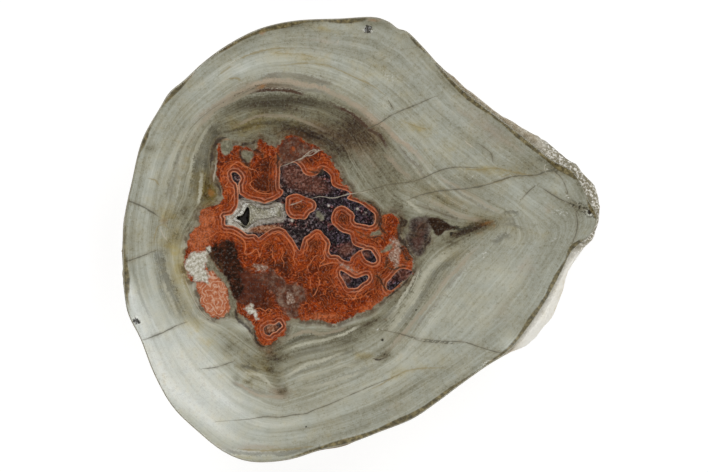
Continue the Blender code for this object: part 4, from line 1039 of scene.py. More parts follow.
def grid_faces(ring_count, spokes):
    """Faces of a closed grid as corner lists: the point after the last ring is the upper pole, and
    the one after it the lower pole."""
    ring, turn = np.meshgrid(np.arange(ring_count - 1), np.arange(spokes), indexing="ij")
    here, there = ring * spokes + turn, ring * spokes + (turn + 1) % spokes
    quads = np.stack([here, here + spokes, there + spokes, there], axis=2).reshape(-1, 4)
    first = np.arange(spokes)
    second = (first + 1) % spokes
    upper = np.stack([np.full(spokes, ring_count * spokes), first, second], axis=1)
    last = (ring_count - 1) * spokes
    lower = np.stack([np.full(spokes, ring_count * spokes + 1), last + second, last + first], axis=1)
    return quads, upper, lower


def make_mesh(name, points, faces, smooth=True):
    """A mesh object from places in mm."""
    mesh = bpy.data.meshes.new(name)
    mesh.from_pydata((points * MM).tolist(), [], faces)
    mesh.polygons.foreach_set("use_smooth", np.full(len(mesh.polygons), smooth))
    mesh.update()
    made = bpy.data.objects.new(name, mesh)
    bpy.context.scene.collection.objects.link(made)
    return made


def enclosed_volume(made):
    """The volume inside a closed mesh, in cubic cm: above nothing if its faces point outwards."""
    made.data.calc_loop_triangles()
    corner = np.zeros(len(made.data.loop_triangles) * 3, int)
    made.data.loop_triangles.foreach_get("vertices", corner)
    place = np.zeros(len(made.data.vertices) * 3)
    made.data.vertices.foreach_get("co", place)
    a, b, c = place.reshape(-1, 3)[corner.reshape(-1, 3)].transpose(1, 0, 2)
    return float((a * np.cross(b, c)).sum() / 6.0 * 1e6)


quads, upper, lower = grid_faces(len(rings), SPOKES)
top_middle = np.array([[*CORE, FACE_HEIGHT]])
ground_middle = rings[-1].mean(axis=0, keepdims=True) * (1, 1, 0)
stone_places = np.concatenate([places, top_middle, ground_middle])
stone = make_mesh("banded_nodule", stone_places, quads.tolist() + upper.tolist() + lower.tolist())
print("the stone's volume is", round(enclosed_volume(stone), 1), "cubic cm")

# %% Store the markings on it
core_middle = {name: depth_inside(CORE[None], lines)[0] for name, lines in FIELDS.items()}
core_middle.update({name: washes(CORE[None], ovals)[0] for name, ovals in WASHES.items()})
core_middle["core"] = depth_inside(CORE[None], [core_line])[0]
core_middle["level"] = -LEVEL_PER_MM * core_middle["core"]
core_middle["from_rim"] = 44.0
core_middle.update({name + part: 0.0 for name in BANDS for part in ("_cosine", "_sine", "_strength")})
for name, values in marks.items():
    attribute = stone.data.attributes.new(name, "FLOAT", "POINT")
    at_poles = [core_middle.get(name, FAR), values[-1]]
    attribute.data.foreach_set("value", np.append(values, at_poles).astype(np.float32))
EDGE_START, EDGE_END = FACE_RINGS * SPOKES, (FACE_RINGS + 3) * SPOKES
rind_share = np.zeros(len(stone_places))
rind_share[EDGE_START:EDGE_END] = 0.5
rind_share[EDGE_END:-2] = rind_share[-1] = 1.0
stone.data.attributes.new("rind", "FLOAT", "POINT").data.foreach_set("value", rind_share.astype(np.float32))
print("attributes:", len(stone.data.attributes))

# %% Lay out the flat pattern
FACE_SCALE, GROUND_SCALE = 0.72 / 116.0, 0.2 / 60.0


def flat_pattern(mesh):
    """UV places for each corner: the face from above, the rind by spoke and ring, the ground from below."""
    ring = np.arange(len(stone_places)) // SPOKES
    ring_of_quad = ring[quads[:, 0]]
    column = np.arange(len(quads)) % SPOKES
    face_uv = (stone_places[:, :2] + (60.5, 57.0)) * FACE_SCALE + 0.008
    ground_uv = (stone_places[:, :2] * (-1, 1) + (30.0, 30.0)) * GROUND_SCALE + (0.785, 0.01)
    step = 0.98 / SPOKES
    down = 0.76 + 0.23 * (np.arange(len(rings)) - RIND_STRIP) / (GROUND_START - RIND_STRIP)
    left, right = 0.01 + column * step, 0.01 + (column + 1) * step
    strip_u = np.stack([left, left, right, right], axis=1)
    strip_v = np.stack([down[ring_of_quad], down[ring_of_quad + 1], down[ring_of_quad + 1],
                        down[ring_of_quad]], axis=1)
    strip = np.stack([strip_u, strip_v], axis=2)
    on_top, on_ground = (ring_of_quad < RIND_STRIP), (ring_of_quad >= GROUND_START)
    quad_uv = np.where(on_top[:, None, None], face_uv[quads], strip)
    quad_uv = np.where(on_ground[:, None, None], ground_uv[quads], quad_uv)
    corners = np.concatenate([quad_uv.reshape(-1, 2), face_uv[upper].reshape(-1, 2),
                              ground_uv[lower].reshape(-1, 2)])
    mesh.uv_layers.new(name="OFBake").data.foreach_set("uv", corners.astype(np.float32).ravel())
    return corners


uv = flat_pattern(stone.data)
print("the flat pattern spans", uv.min(axis=0).round(3), "to", uv.max(axis=0).round(3))

# %% [markdown]
# ## The crystals in the pocket
# The open pocket is lined with a sugary crust of white quartz. Up close it is a crowd of
# six-sided points, most of them half grown together. A bumpy surface alone would look like snow.
# So there are two parts in one mesh: a crust that dips into the pocket, and on it many small
# crystals, each a six-sided prism with a six-faced tip, all made from one pattern at once.

# %% The crust
EYE = np.array([-29.0, 5.4])
CRUST_SPOKES, CRUST_RINGS = 180, 36
CRUST_DISH, CRUST_HOLE, CRUST_THICKNESS = 1.15, 3.0, 0.6
white_reach = reach_round(white_line, EYE)


def crust_depth(places, share):
    """Depth of the crust's front: flush at the rim, then a shallow dish, and steep in the dark hole."""
    hollow = depth_inside(places, [hole_line])
    return CRUST_DISH * smoothstep(1.0, 0.7, share) + CRUST_HOLE * smoothstep(-0.15, 0.4, hollow)


def crust_rings():
    """Rings of the crust's front from the middle out, then of its back from the rim in."""
    turn = np.linspace(0.0, 2.0 * math.pi, CRUST_SPOKES, endpoint=False)
    share = np.concatenate([np.linspace(0.0, 1.0, CRUST_RINGS + 1)[1:], [0.97, 0.9, 0.75, 0.5, 0.25]])
    across = np.stack([np.cos(turn), np.sin(turn)], axis=1)
    flat = EYE + (share[:, None] * white_reach(turn))[:, :, None] * across
    front = crust_depth(flat.reshape(-1, 2), np.repeat(share, CRUST_SPOKES)).reshape(len(share), -1)
    thick = np.concatenate([np.zeros(CRUST_RINGS), [0.03, 0.35, *[CRUST_THICKNESS] * 3]])[:, None]
    height = FACE_HEIGHT + 0.02 - front - thick
    return np.concatenate([flat, height[:, :, None]], axis=2)


print("the crust dips to", crust_depth(EYE[None], np.zeros(1))[0].round(2), "mm below the face")

# %% The crystals
def crystal_places(spacing=0.82, seed=21):
    """Feet of the crystals: a shifted lattice inside the white edge, none in the dark hole."""
    chance = np.random.default_rng(seed)
    x, y = np.meshgrid(np.arange(-33.5, -19, spacing), np.arange(2, 10.4, spacing * math.sqrt(0.75)))
    x = x + 0.5 * spacing * (np.arange(len(x)) % 2)[:, None]
    feet = np.stack([x.ravel(), y.ravel()], axis=1)
    feet += chance.normal(size=feet.shape) * 0.16 * spacing
    return feet[(depth_inside(feet, [white_line]) > 0.35) & (depth_inside(feet, [hole_line]) < -0.45)]


CRYSTAL_SIZE, FOOT, SHOULDER, TIP = 0.62, -0.9, 0.25, 1.1


def crystals(feet, seed=22):
    """Six-sided prisms with pointed tips: one pattern of 14 points, times each crystal's size, in
    the three directions of its own leaning axis, plus its foot."""
    chance = np.random.default_rng(seed)
    turn = np.arange(6) * math.pi / 3
    ring = np.stack([np.cos(turn), np.sin(turn)], axis=1)
    pattern = np.concatenate([
        np.column_stack([ring, np.full(6, FOOT)]), np.column_stack([ring, np.full(6, SHOULDER)]),
        [[0, 0, TIP], [0, 0, FOOT]],
    ])
    count = len(feet)
    within = depth_inside(feet, [white_line])
    size = CRYSTAL_SIZE * chance.uniform(0.65, 1.25, count) * smoothstep(-0.3, 1.2, within)
    offset = feet - EYE
    share = np.hypot(*offset.T) / white_reach(np.arctan2(offset[:, 1], offset[:, 0]))
    axis = np.column_stack([-0.25 * offset / np.hypot(*offset.T)[:, None], np.ones(count)])
    axis += chance.normal(size=axis.shape) * (0.22, 0.22, 0.1)
    axis /= np.linalg.norm(axis, axis=1, keepdims=True)
    across = np.cross(axis, chance.normal(size=axis.shape))
    across /= np.linalg.norm(across, axis=1, keepdims=True)
    third = np.cross(axis, across)
    frames = np.stack([across, third, axis], axis=1) * size[:, None, None]
    foot = np.column_stack([feet, FACE_HEIGHT - crust_depth(feet, share)])
    placed = pattern @ frames + foot[:, None]
    placed[:, :, 2] = np.minimum(placed[:, :, 2], FACE_HEIGHT - 0.03)
    low, high = np.arange(6), np.arange(6) + 6
    nxt = (np.arange(6) + 1) % 6
    sides = np.stack([low, nxt, nxt + 6, high], axis=1)
    tips = np.stack([high, nxt + 6, np.full(6, 12)], axis=1)
    feet_faces = np.stack([nxt, low, np.full(6, 13)], axis=1)
    start = (np.arange(count) * 14)[:, None, None]
    return placed.reshape(-1, 3), (sides + start).reshape(-1, 4), np.concatenate(
        [(tips + start).reshape(-1, 3), (feet_faces + start).reshape(-1, 3)])


shell = crust_rings()
shell_quads, shell_upper, shell_lower = grid_faces(len(shell), CRUST_SPOKES)
eye_depth = crust_depth(EYE[None], np.zeros(1))[0]
shell_poles = np.array([[*EYE, FACE_HEIGHT - eye_depth], [*EYE, FACE_HEIGHT - eye_depth - CRUST_THICKNESS]])
crystal_points, crystal_sides, crystal_tips = crystals(crystal_places())
crust_points = np.concatenate([shell.reshape(-1, 3), shell_poles, crystal_points])
offset = len(shell.reshape(-1, 3)) + 2
crust_faces = [*shell_quads.tolist(), *shell_upper.tolist(), *shell_lower.tolist(),
               *(crystal_sides + offset).tolist(), *(crystal_tips + offset).tolist()]
crust = make_mesh("pocket_crystals", crust_points, crust_faces, smooth=False)
print("crystals:", len(crystal_points) // 14, " volume", round(enclosed_volume(crust), 2), "cubic cm")

# %% [markdown]
# ## Helpers for materials
# A material is a chain of small steps. Typing each node and each link in full would hide the
# idea, so one short class adds a node, feeds it and hands back its output. Colours are given as
# they look on a screen, 0 to 255, and turned into the linear values that Blender works with.

# %% Colours as on a screen
def colour(red, green, blue):
    """Screen values 0 to 255 as linear light: the share to the power 2.4, with the usual offset."""
    share = np.array([red, green, blue]) / 255.0
    linear = np.where(share > 0.04045, ((share + 0.055) / 1.055) ** 2.4, share / 12.92)
    return (*linear.tolist(), 1.0)


print("dark brown in linear light:", [round(share, 3) for share in colour(66, 20, 4)[:3]])

# %% A short way to add nodes
class Steps:
    """Adds nodes to one tree. Every method returns the socket with its result."""

    def __init__(self, tree):
        self.tree = tree

    def add(self, kind, inputs=(), output=0, **settings):
        node = self.tree.nodes.new("ShaderNode" + kind)
        for key, value in settings.items():
            setattr(node, key, value)
        for key, value in dict(inputs).items():
            if isinstance(value, bpy.types.NodeSocket):
                self.tree.links.new(value, node.inputs[key])
            else:
                node.inputs[key].default_value = value
        return node.outputs[output]

    def math(self, operation, *values):
        return self.add("Math", enumerate(values), operation=operation)

    def plus(self, *values):
        total = values[0]
        for value in values[1:]:
            total = self.math("ADD", total, value)
        return total

    def times(self, *values):
        total = values[0]
        for value in values[1:]:
            total = self.math("MULTIPLY", total, value)
        return total

    def step(self, low, high, value, to_low=0.0, to_high=1.0):
        """Rises smoothly from to_low to to_high while value goes from low to high."""
        inputs = {"Value": value, "From Min": low, "From Max": high, "To Min": to_low, "To Max": to_high}
        return self.add("MapRange", inputs, interpolation_type="SMOOTHSTEP")

    def stored(self, name):
        return self.add("Attribute", output="Fac", attribute_name=name)

    def noise(self, place, size, detail=2.0, along=None, roughness=0.5):
        """Noise of about the size given in mm. With along, it also changes along that number."""
        inputs = {"Vector": place, "Scale": 1.0 / size, "Detail": detail, "Roughness": roughness}
        if along is None:
            return self.add("TexNoise", inputs)
        inputs["W"] = self.times(along, size)
        return self.add("TexNoise", inputs, noise_dimensions="4D")

    def swing(self, value, amount):
        """A noise value from 0 to 1 as a swing about nothing, of the amount given."""
        return self.math("MULTIPLY_ADD", value, amount, -0.5 * amount)

    def ramp(self, value, stops):
        """Colours at positions from 0 to 1, in rising order, blended between. A stop is its position
        and three screen values."""
        return self.linear_ramp(value, [(position, colour(*screen)) for position, *screen in stops])

    def grey_ramp(self, value, stops):
        """Strengths at positions from 0 to 1, in rising order, blended between."""
        return self.linear_ramp(value,
                                [(position, (share, share, share, 1.0)) for position, share in stops])

    def linear_ramp(self, value, stops):
        shaded = self.add("ValToRGB", {"Fac": value})
        elements = shaded.node.color_ramp.elements
        for position, shade in stops[1:-1]:
            elements.new(position).color = shade
        for element, (position, shade) in ((elements[0], stops[0]), (elements[-1], stops[-1])):
            element.position, element.color = position, shade
        return shaded

    def mix(self, share, first, second, blend="MIX"):
        inputs = {0: share, 6: first, 7: second}
        return self.add("Mix", inputs, output=2, data_type="RGBA", blend_type=blend, clamp_factor=True)


print("ways to add a step:", [name for name in vars(Steps) if name[0] != "_"])

# %% Node groups
def make_group(name, inputs, outputs):
    """An empty node group with named sockets, and the steps to fill it."""
    tree = bpy.data.node_groups.new(name, "ShaderNodeTree")
    for direction, sockets in (("INPUT", inputs), ("OUTPUT", outputs)):
        for socket, kind in sockets.items():
            tree.interface.new_socket(socket, in_out=direction, socket_type="NodeSocket" + kind)
    given = tree.nodes.new("NodeGroupInput")
    result = tree.nodes.new("NodeGroupOutput")
    return tree, Steps(tree), given.outputs, result.inputs


def use_group(steps, tree, output=0, **inputs):
    node = steps.tree.nodes.new("ShaderNodeGroup")
    node.node_tree = tree
    for key, value in inputs.items():
        socket = node.inputs[key.replace("_", " ").capitalize()]
        if isinstance(value, bpy.types.NodeSocket):
            steps.tree.links.new(value, socket)
        else:
            socket.default_value = value
    return node.outputs[output]


def place_in_mm(steps):
    """The place of the point that is coloured, from the object's own origin."""
    return steps.add("VectorMath", {0: steps.add("TexCoord", output="Object"), "Scale": 1000.0},
                     operation="SCALE")


print("helpers ready")

# %% [markdown]
# ## Effects that several finishes share
# Four effects come back again and again, so each is a node group. The first gives a patch a
# frayed edge from its stored distance. The second draws a thin line from its two stored numbers.
# The third is the sparkle of small crystals: cells of random brightness, with fine grain over it.
# The fourth draws lines that lie inside one another, each where a wavering distance has grown by
# one more spacing.

# %% Frayed edge
frayed_edge, steps, given, result = make_group(
    "frayed edge", {"Place": "Vector", "Depth": "Float", "Size": "Float", "Fray": "Float",
                    "Softness": "Float"},
    {"Mask": "Float"})
ragged = steps.add("TexNoise", {"Vector": given["Place"], "Scale": steps.math("DIVIDE", 1.0, given["Size"]),
                                "Detail": 3.0, "Roughness": 0.6})
shifted = steps.plus(given["Depth"], steps.times(steps.plus(ragged, -0.5), given["Fray"]))
edge = steps.step(steps.times(given["Softness"], -1.0), given["Softness"], shifted)
steps.tree.links.new(edge, result["Mask"])
print(frayed_edge.name, "has", len(frayed_edge.nodes), "nodes")

# %% Thin line
thin_line, steps, given, result = make_group(
    "thin line", {"Place": "Vector", "Side": "Float", "Away": "Float", "Uneven": "Float"},
    {"Mask": "Float", "Halo": "Float"})
wander = steps.swing(steps.noise(given["Place"], 1.0, 3.0), 2.4)
broad = steps.swing(steps.noise(given["Place"], 1.8, 3.0), 3.2)
thickness = steps.math("MAXIMUM", steps.plus(1.0, steps.times(broad, given["Uneven"])), 0.12)
across = steps.math("DIVIDE", steps.math("ABSOLUTE", steps.plus(given["Side"], wander)), thickness)
near_enough = steps.step(1.2, 0.8, given["Away"])
faint = steps.step(0.28, 0.5, steps.noise(given["Place"], 2.6, 2.0), 0.35, 1.0)
line = steps.times(steps.step(1.7, 0.3, across), near_enough, faint)
steps.tree.links.new(line, result["Mask"])
steps.tree.links.new(steps.times(steps.step(6.0, 1.0, across), near_enough), result["Halo"])
print(thin_line.name, "has", len(thin_line.nodes), "nodes")

# %% Crystal sparkle
sparkle, steps, given, result = make_group(
    "crystal sparkle", {"Place": "Vector", "Size": "Float"}, {"Brightness": "Float"})
scale = steps.math("DIVIDE", 1.0, given["Size"])
cells = steps.add("TexVoronoi", {"Vector": given["Place"], "Scale": scale, "Randomness": 1.0},
                  output="Color")
facet = steps.add("SeparateColor", {"Color": cells}, output="Red")
fleck = steps.noise(given["Place"], 0.25, 2.0)
steps.tree.links.new(steps.plus(steps.times(facet, 0.66), steps.times(fleck, 0.34)), result["Brightness"])
print(sparkle.name, "has", len(sparkle.nodes), "nodes")

# %% Nested lines
nested_lines, steps, given, result = make_group(
    "nested lines", {"Place": "Vector", "Distance": "Float", "Spacing": "Float", "Wobble": "Float",
                     "Thinness": "Float"},
    {"Mask": "Float"})
bend = steps.add("TexNoise", {"Vector": given["Place"], "Scale": 0.4, "Detail": 2.0, "Roughness": 0.42})
climb = steps.plus(given["Distance"], steps.times(steps.plus(bend, -0.5), given["Wobble"]))
crest = steps.math("COSINE", steps.math("DIVIDE", steps.times(climb, 2.0 * math.pi), given["Spacing"]))
steps.tree.links.new(steps.step(given["Thinness"], 1.0, crest), result["Mask"])
print("groups:", [tree.name for tree in bpy.data.node_groups])

# %% [markdown]
# ## The stone's material
# The material works from the outside in, as the stone was laid down. First come the grey bands:
# noise that changes slowly over the stone and fast from level to level, which gives lines that
# run along the bands. Then the red core covers them, with its lace from the distance to the
# quartz. The patches follow, then the lines, and last the rind.

# %% Start the material and its measures
finish = bpy.data.materials.new("banded_stone_polished")
finish.use_nodes = True
shader = finish.node_tree.nodes["Principled BSDF"]
steps = Steps(finish.node_tree)
place = place_in_mm(steps)
flat_place = steps.add("VectorMath", {0: place, 1: (1.0, 1.0, 0.0)}, operation="MULTIPLY")
stored = {name: steps.stored(name) for name in [*marks, "rind"]}
grain = steps.noise(place, 0.8, 3.0, roughness=0.9)
mottle = steps.noise(place, 2.2, 5.0, roughness=0.62)
cloud = steps.noise(place, 8.0, 4.0, roughness=0.55)
spot_x = steps.add("SeparateXYZ", {"Vector": place}, output="X")
spot_y = steps.add("SeparateXYZ", {"Vector": place}, output="Y")


def count_nodes(part):
    print(part, "brings the stone's material to", len(finish.node_tree.nodes), "nodes")


count_nodes("the start")

# %% Grey bands
level = steps.plus(stored["level"], steps.swing(cloud, 0.03), steps.swing(mottle, 0.01))
wide_bands = steps.noise(place, 50.0, 2.0, along=steps.times(level, 9.0))
bands = steps.noise(place, 34.0, 2.0, along=steps.times(level, 26.0))
fine_bands = steps.noise(place, 20.0, 2.0, along=steps.times(level, 70.0))
hair_bands = steps.noise(place, 12.0, 2.0, along=steps.times(level, 160.0))
lively = steps.step(0.8, 0.3, level, 0.7, 1.0)
calm = steps.step(0.0, 0.3, stored["shade"], 1.0, 0.55)
finer = steps.plus(steps.swing(bands, 0.4), steps.swing(fine_bands, 0.36), steps.swing(hair_bands, 0.26))
banding = steps.plus(steps.swing(wide_bands, 0.34), steps.times(steps.times(lively, calm), finer))
tone = steps.plus(
    steps.step(0.0, 0.5, level, 0.55, 0.69),
    stored["shade"],
    banding,
    steps.swing(cloud, 0.14),
    steps.swing(mottle, 0.16),
    steps.times(steps.swing(grain, 1.0), calm),
)
grey = steps.ramp(steps.times(tone, 0.8), [
    (0.0, 40, 30, 24), (0.11, 68, 55, 42), (0.24, 98, 90, 70), (0.4, 139, 135, 112),
    (0.56, 171, 169, 150), (0.69, 198, 199, 183), (0.8, 222, 223, 210), (1.0, 252, 253, 244),
])
cool_cloud = steps.noise(place, 5.0, 5.0, roughness=0.6)
coolness = steps.plus(steps.step(0.36, 0.7, cool_cloud), steps.step(0.2, 0.9, level, -0.3, 0.2),
                      steps.step(34.0, 50.0, spot_x, 0.0, 0.6))
grey = steps.mix(steps.step(0.0, 1.2, coolness, 0.0, 0.5), grey, colour(240, 246, 255), blend="MULTIPLY")
pinkness = steps.plus(stored["pink"], steps.swing(bands, 1.0), steps.swing(wide_bands, 0.6),
                      steps.swing(mottle, 0.8), -0.1)
grey = steps.mix(steps.step(0.0, 1.0, pinkness, 0.0, 0.85), grey, colour(232, 204, 192), blend="MULTIPLY")
yellowness = steps.plus(stored["yellow"], steps.swing(cool_cloud, -1.2), steps.swing(mottle, 1.2), 0.02)
grey = steps.mix(steps.step(0.0, 1.2, yellowness), grey, colour(228, 206, 140), blend="MULTIPLY")
for name, tint in (
    ("dark_band", colour(66, 60, 46)), ("brown_band", colour(84, 64, 50)),
    ("pale_band", colour(206, 203, 182)), ("cream_band", colour(184, 168, 146)),
):
    half_turns = steps.times(steps.math("ARCTAN2", stored[name + "_sine"], stored[name + "_cosine"]),
                             1.0 / math.pi)
    uneven = steps.plus(steps.times(half_turns, 3.0), steps.swing(mottle, 1.0), steps.swing(grain, 4.0))
    across = steps.math("ABSOLUTE", uneven)
    fullness = steps.times(steps.step(1.35, 0.5, across), stored[name + "_strength"], 1.25)
    grey = steps.mix(steps.times(fullness, steps.step(0.3, 0.6, cool_cloud, 0.6, 1.1)), grey, tint)
grey = steps.mix(steps.step(0.46, 0.62, grain, 0.0, 0.3), grey, colour(150, 142, 122), blend="MULTIPLY")
stain = steps.plus(stored["stain"], steps.times(steps.swing(mottle, 2.4), stored["stain"]))
stained = steps.step(0.25, 1.0, stain)
grey = steps.mix(steps.times(stained, 0.55), grey, colour(166, 112, 56))
beside_core = steps.step(-2.2, 0.0, steps.plus(stored["core"], steps.swing(mottle, 3.0)))
grey = steps.mix(steps.times(beside_core, 0.3), grey, colour(134, 96, 60))
count_nodes("the grey stone")

# %% Red stone between the lines
distance = steps.times(stored["quartz"], -1.0)
ripple = steps.times(steps.swing(steps.noise(place, 0.9, 2.0), 0.5), steps.step(0.1, 1.4, distance))
near = steps.plus(distance, ripple)
red_mottle = steps.noise(place, 1.3, 5.0, roughness=0.66)
far_away = steps.step(0.8, 2.6, distance)
redness = steps.plus(red_mottle, steps.times(stored["pale_red"], 0.14), steps.times(far_away, -0.02),
                     steps.swing(grain, 0.4))
red = steps.ramp(redness, [
    (0.26, 104, 34, 0), (0.42, 142, 50, 0), (0.54, 168, 66, 8), (0.66, 184, 84, 26),
    (0.82, 206, 118, 64),
])
moss_noise = steps.noise(place, 2.6, 4.0, roughness=0.6)
moss = steps.step(0.46, 0.62, steps.plus(moss_noise, steps.times(stored["brown"], 0.2)))
red = steps.mix(steps.times(moss, far_away, 0.65), red, colour(92, 38, 10))
salmon_share = steps.step(0.2, 1.2, steps.plus(stored["pale_red"], steps.swing(red_mottle, 1.4)), 0.0, 0.75)
red = steps.mix(salmon_share, red, colour(206, 120, 80))
amber = steps.step(0.3, 1.1, steps.plus(stored["brown"], steps.swing(red_mottle, 0.8)))
red = steps.mix(steps.times(amber, 0.85), red, colour(78, 34, 12))
count_nodes("the red stone")

# %% Lace lines
def profile(value, reach, stops):
    """A strength from 0 to 1 that follows value, given as pairs of mm and strength up to reach."""
    return steps.grey_ramp(steps.math("DIVIDE", value, reach), [(at / reach, share) for at, share in stops])


PALE_LACE, ORANGE_LACE, DARK_LACE = colour(216, 154, 120), colour(208, 116, 66), colour(66, 20, 4)
red = steps.mix(steps.step(0.6, 0.4, grain), red, colour(186, 174, 160), blend="MULTIPLY")
patchy = steps.step(0.38, 0.62, steps.noise(place, 3.6, 2.0))
far_lines = use_group(steps, nested_lines, place=place, distance=steps.times(distance, 0.8),
                      spacing=1.1, wobble=9.0, thinness=0.68)
inner_lines = use_group(steps, nested_lines, place=place, distance=distance, spacing=0.55, wobble=1.2,
                        thinness=0.4)
threads = use_group(steps, nested_lines, place=place, distance=distance, spacing=1.5, wobble=6.0,
                    thinness=-0.2)
red = steps.mix(steps.times(threads, steps.step(0.8, 2.0, distance, 0.0, 0.32)), red, colour(94, 34, 2))
far_share = steps.times(steps.step(1.0, 2.2, distance), steps.plus(0.6, steps.times(amber, -0.45)))
red = steps.mix(steps.times(far_lines, far_share), red, colour(204, 104, 50))
red = steps.mix(steps.times(inner_lines, steps.step(2.8, 1.8, distance), 0.4), red, colour(206, 104, 60))
dark_near = profile(near, 1.8, [
    (0.0, 0.0), (0.34, 0.0), (0.46, 1.0), (0.66, 0.9), (0.8, 0.0), (1.24, 0.0), (1.4, 0.6), (1.6, 0.0),
])
pale_near = profile(near, 3.2, [
    (0.0, 1.0), (0.16, 0.9), (0.3, 0.05), (0.8, 0.1), (0.94, 0.9), (1.08, 0.1), (1.7, 0.0),
    (1.84, 0.35), (1.98, 0.0), (2.5, 0.0), (2.7, 0.6), (2.9, 0.0),
])
dark_share = steps.plus(0.25, steps.times(patchy, 0.5), steps.times(stored["bold"], 0.6))
red = steps.mix(steps.times(dark_near, dark_share), red, DARK_LACE)
pale_share = steps.plus(0.35, steps.times(patchy, 0.4), steps.times(stored["bold"], 0.4))
pale_tint = steps.mix(steps.step(1.2, 1.5, near), PALE_LACE, ORANGE_LACE)
red = steps.mix(steps.times(pale_near, pale_share), red, pale_tint)
lace_line = use_group(steps, thin_line, place=place, side=stored["lace_line"],
                      away=stored["lace_line_away"], uneven=0.3)
red = steps.mix(steps.times(lace_line, 0.8), red, colour(210, 122, 76))
count_nodes("the lace")

# %% Ring eyes and small spots
def nearest_spot(spots):
    """How far a place lies from the nearest of some spots, in that spot's own radii."""
    nearest_so_far = FAR
    for x, y, radius in spots:
        off = steps.add("VectorMath", {0: flat_place, 1: (x, y, 0.0)}, output="Value", operation="DISTANCE")
        nearest_so_far = steps.math("MINIMUM", steps.times(off, 1.0 / radius), nearest_so_far)
    return nearest_so_far


eye = steps.plus(nearest_spot([(x, y, 1.0) for x, y in RING_EYES]), steps.swing(red_mottle, 0.16))
red = steps.mix(steps.times(steps.step(0.85, 0.6, eye), 0.3), red, colour(170, 76, 36))
red = steps.mix(profile(eye, 1.0, [(0.0, 0.0), (0.22, 0.0), (0.32, 0.4), (0.42, 0.35), (0.52, 0.0)]),
                red, ORANGE_LACE)
count_nodes("the ring eyes")

# %% Quartz windows
glint = use_group(steps, sparkle, "Brightness", place=place, size=0.42)
region = steps.noise(place, 2.8, 3.0)
dark_quartz = steps.ramp(steps.plus(glint, steps.swing(region, 0.7)), [
    (0.34, 22, 12, 14), (0.54, 50, 36, 36), (0.7, 78, 62, 62), (0.84, 122, 110, 110),
    (0.96, 200, 194, 190),
])
dark_quartz = steps.mix(steps.step(0.48, 0.66, region), dark_quartz, colour(230, 150, 130),
                        blend="MULTIPLY")
dark_quartz = steps.mix(steps.step(-15.0, -6.0, spot_x, 0.0, 0.9), dark_quartz, colour(220, 222, 255),
                        blend="MULTIPLY")
violet = steps.ramp(glint, [(0.1, 58, 28, 18), (0.5, 94, 54, 42), (0.95, 148, 106, 92)])
cloudy = steps.ramp(glint, [(0.1, 142, 130, 112), (0.5, 186, 178, 162), (0.95, 222, 218, 208)])
rusty = steps.ramp(glint, [(0.1, 84, 42, 24), (0.5, 140, 84, 54), (0.95, 190, 148, 118)])
quartz = steps.mix(steps.step(0.1, 0.9, stored["amethyst"]), dark_quartz, violet)
quartz = steps.mix(steps.step(0.15, 0.9, steps.plus(stored["milky"], steps.swing(red_mottle, 0.6))),
                   quartz, cloudy)
quartz = steps.mix(steps.step(0.2, 0.9, steps.plus(stored["brown"], steps.swing(red_mottle, 0.6))),
                   quartz, rusty)
by_pocket = steps.step(-1.0, -0.3, steps.plus(stored["pocket"], steps.swing(red_mottle, 2.4)))
quartz = steps.mix(steps.times(by_pocket, steps.step(0.1, 0.8, stored["brown"], 0.6, 0.1)), quartz, cloudy)
count_nodes("the quartz")

# %% Put the core together
def patch(name, size=0.9, fray=0.8, softness=0.12):
    return use_group(steps, frayed_edge, place=place, depth=stored[name], size=size, fray=fray,
                     softness=softness)


def fibres(dark, middle, light, size=1.1, spread=0.2):
    """A mottled colour in three tones."""
    value = steps.noise(place, size, 5.0, roughness=0.7)
    return steps.linear_ramp(value, [(0.5 - spread, dark), (0.5, middle), (0.5 + spread, light)])


white_glint = use_group(steps, sparkle, "Brightness", place=place, size=0.38)
white = fibres(colour(134, 126, 104), colour(198, 192, 174), colour(242, 240, 232), 0.7, 0.17)
blush = steps.ramp(white_glint, [(0.1, 112, 84, 66), (0.5, 152, 124, 106), (0.9, 204, 188, 172)])
smoky = fibres(colour(22, 10, 2), colour(44, 20, 6), colour(88, 44, 22), 0.9, 0.18)
maroon = fibres(colour(44, 20, 12), colour(78, 38, 24), colour(112, 66, 46), 1.2, 0.2)
mauve = fibres(colour(52, 28, 20), colour(86, 56, 42), colour(146, 124, 106), 1.8, 0.2)
mauve = steps.mix(steps.step(0.52, 0.64, red_mottle, 0.0, 0.35), mauve, colour(142, 66, 34))
salmon_lines = use_group(steps, nested_lines, place=place, distance=stored["salmon"], spacing=1.15,
                         wobble=7.0, thinness=0.3)
salmon = steps.mix(steps.times(salmon_lines, 0.75),
                   fibres(colour(154, 70, 38), colour(184, 108, 70), colour(208, 148, 114), 1.1),
                   colour(218, 176, 150))
glassy = fibres(colour(84, 80, 60), colour(128, 124, 102), colour(168, 164, 142), 0.9)
tail = fibres(colour(28, 18, 14), colour(80, 66, 58), colour(124, 116, 104), 1.3, 0.17)
tail_heart = steps.step(0.8, 2.4, steps.plus(stored["tail"], steps.swing(red_mottle, 4.0)), 0.0, 0.6)
tail = steps.mix(tail_heart, tail, colour(84, 44, 34))
clump = fibres(colour(30, 16, 6), colour(46, 28, 14), colour(84, 66, 46), 1.0, 0.2)

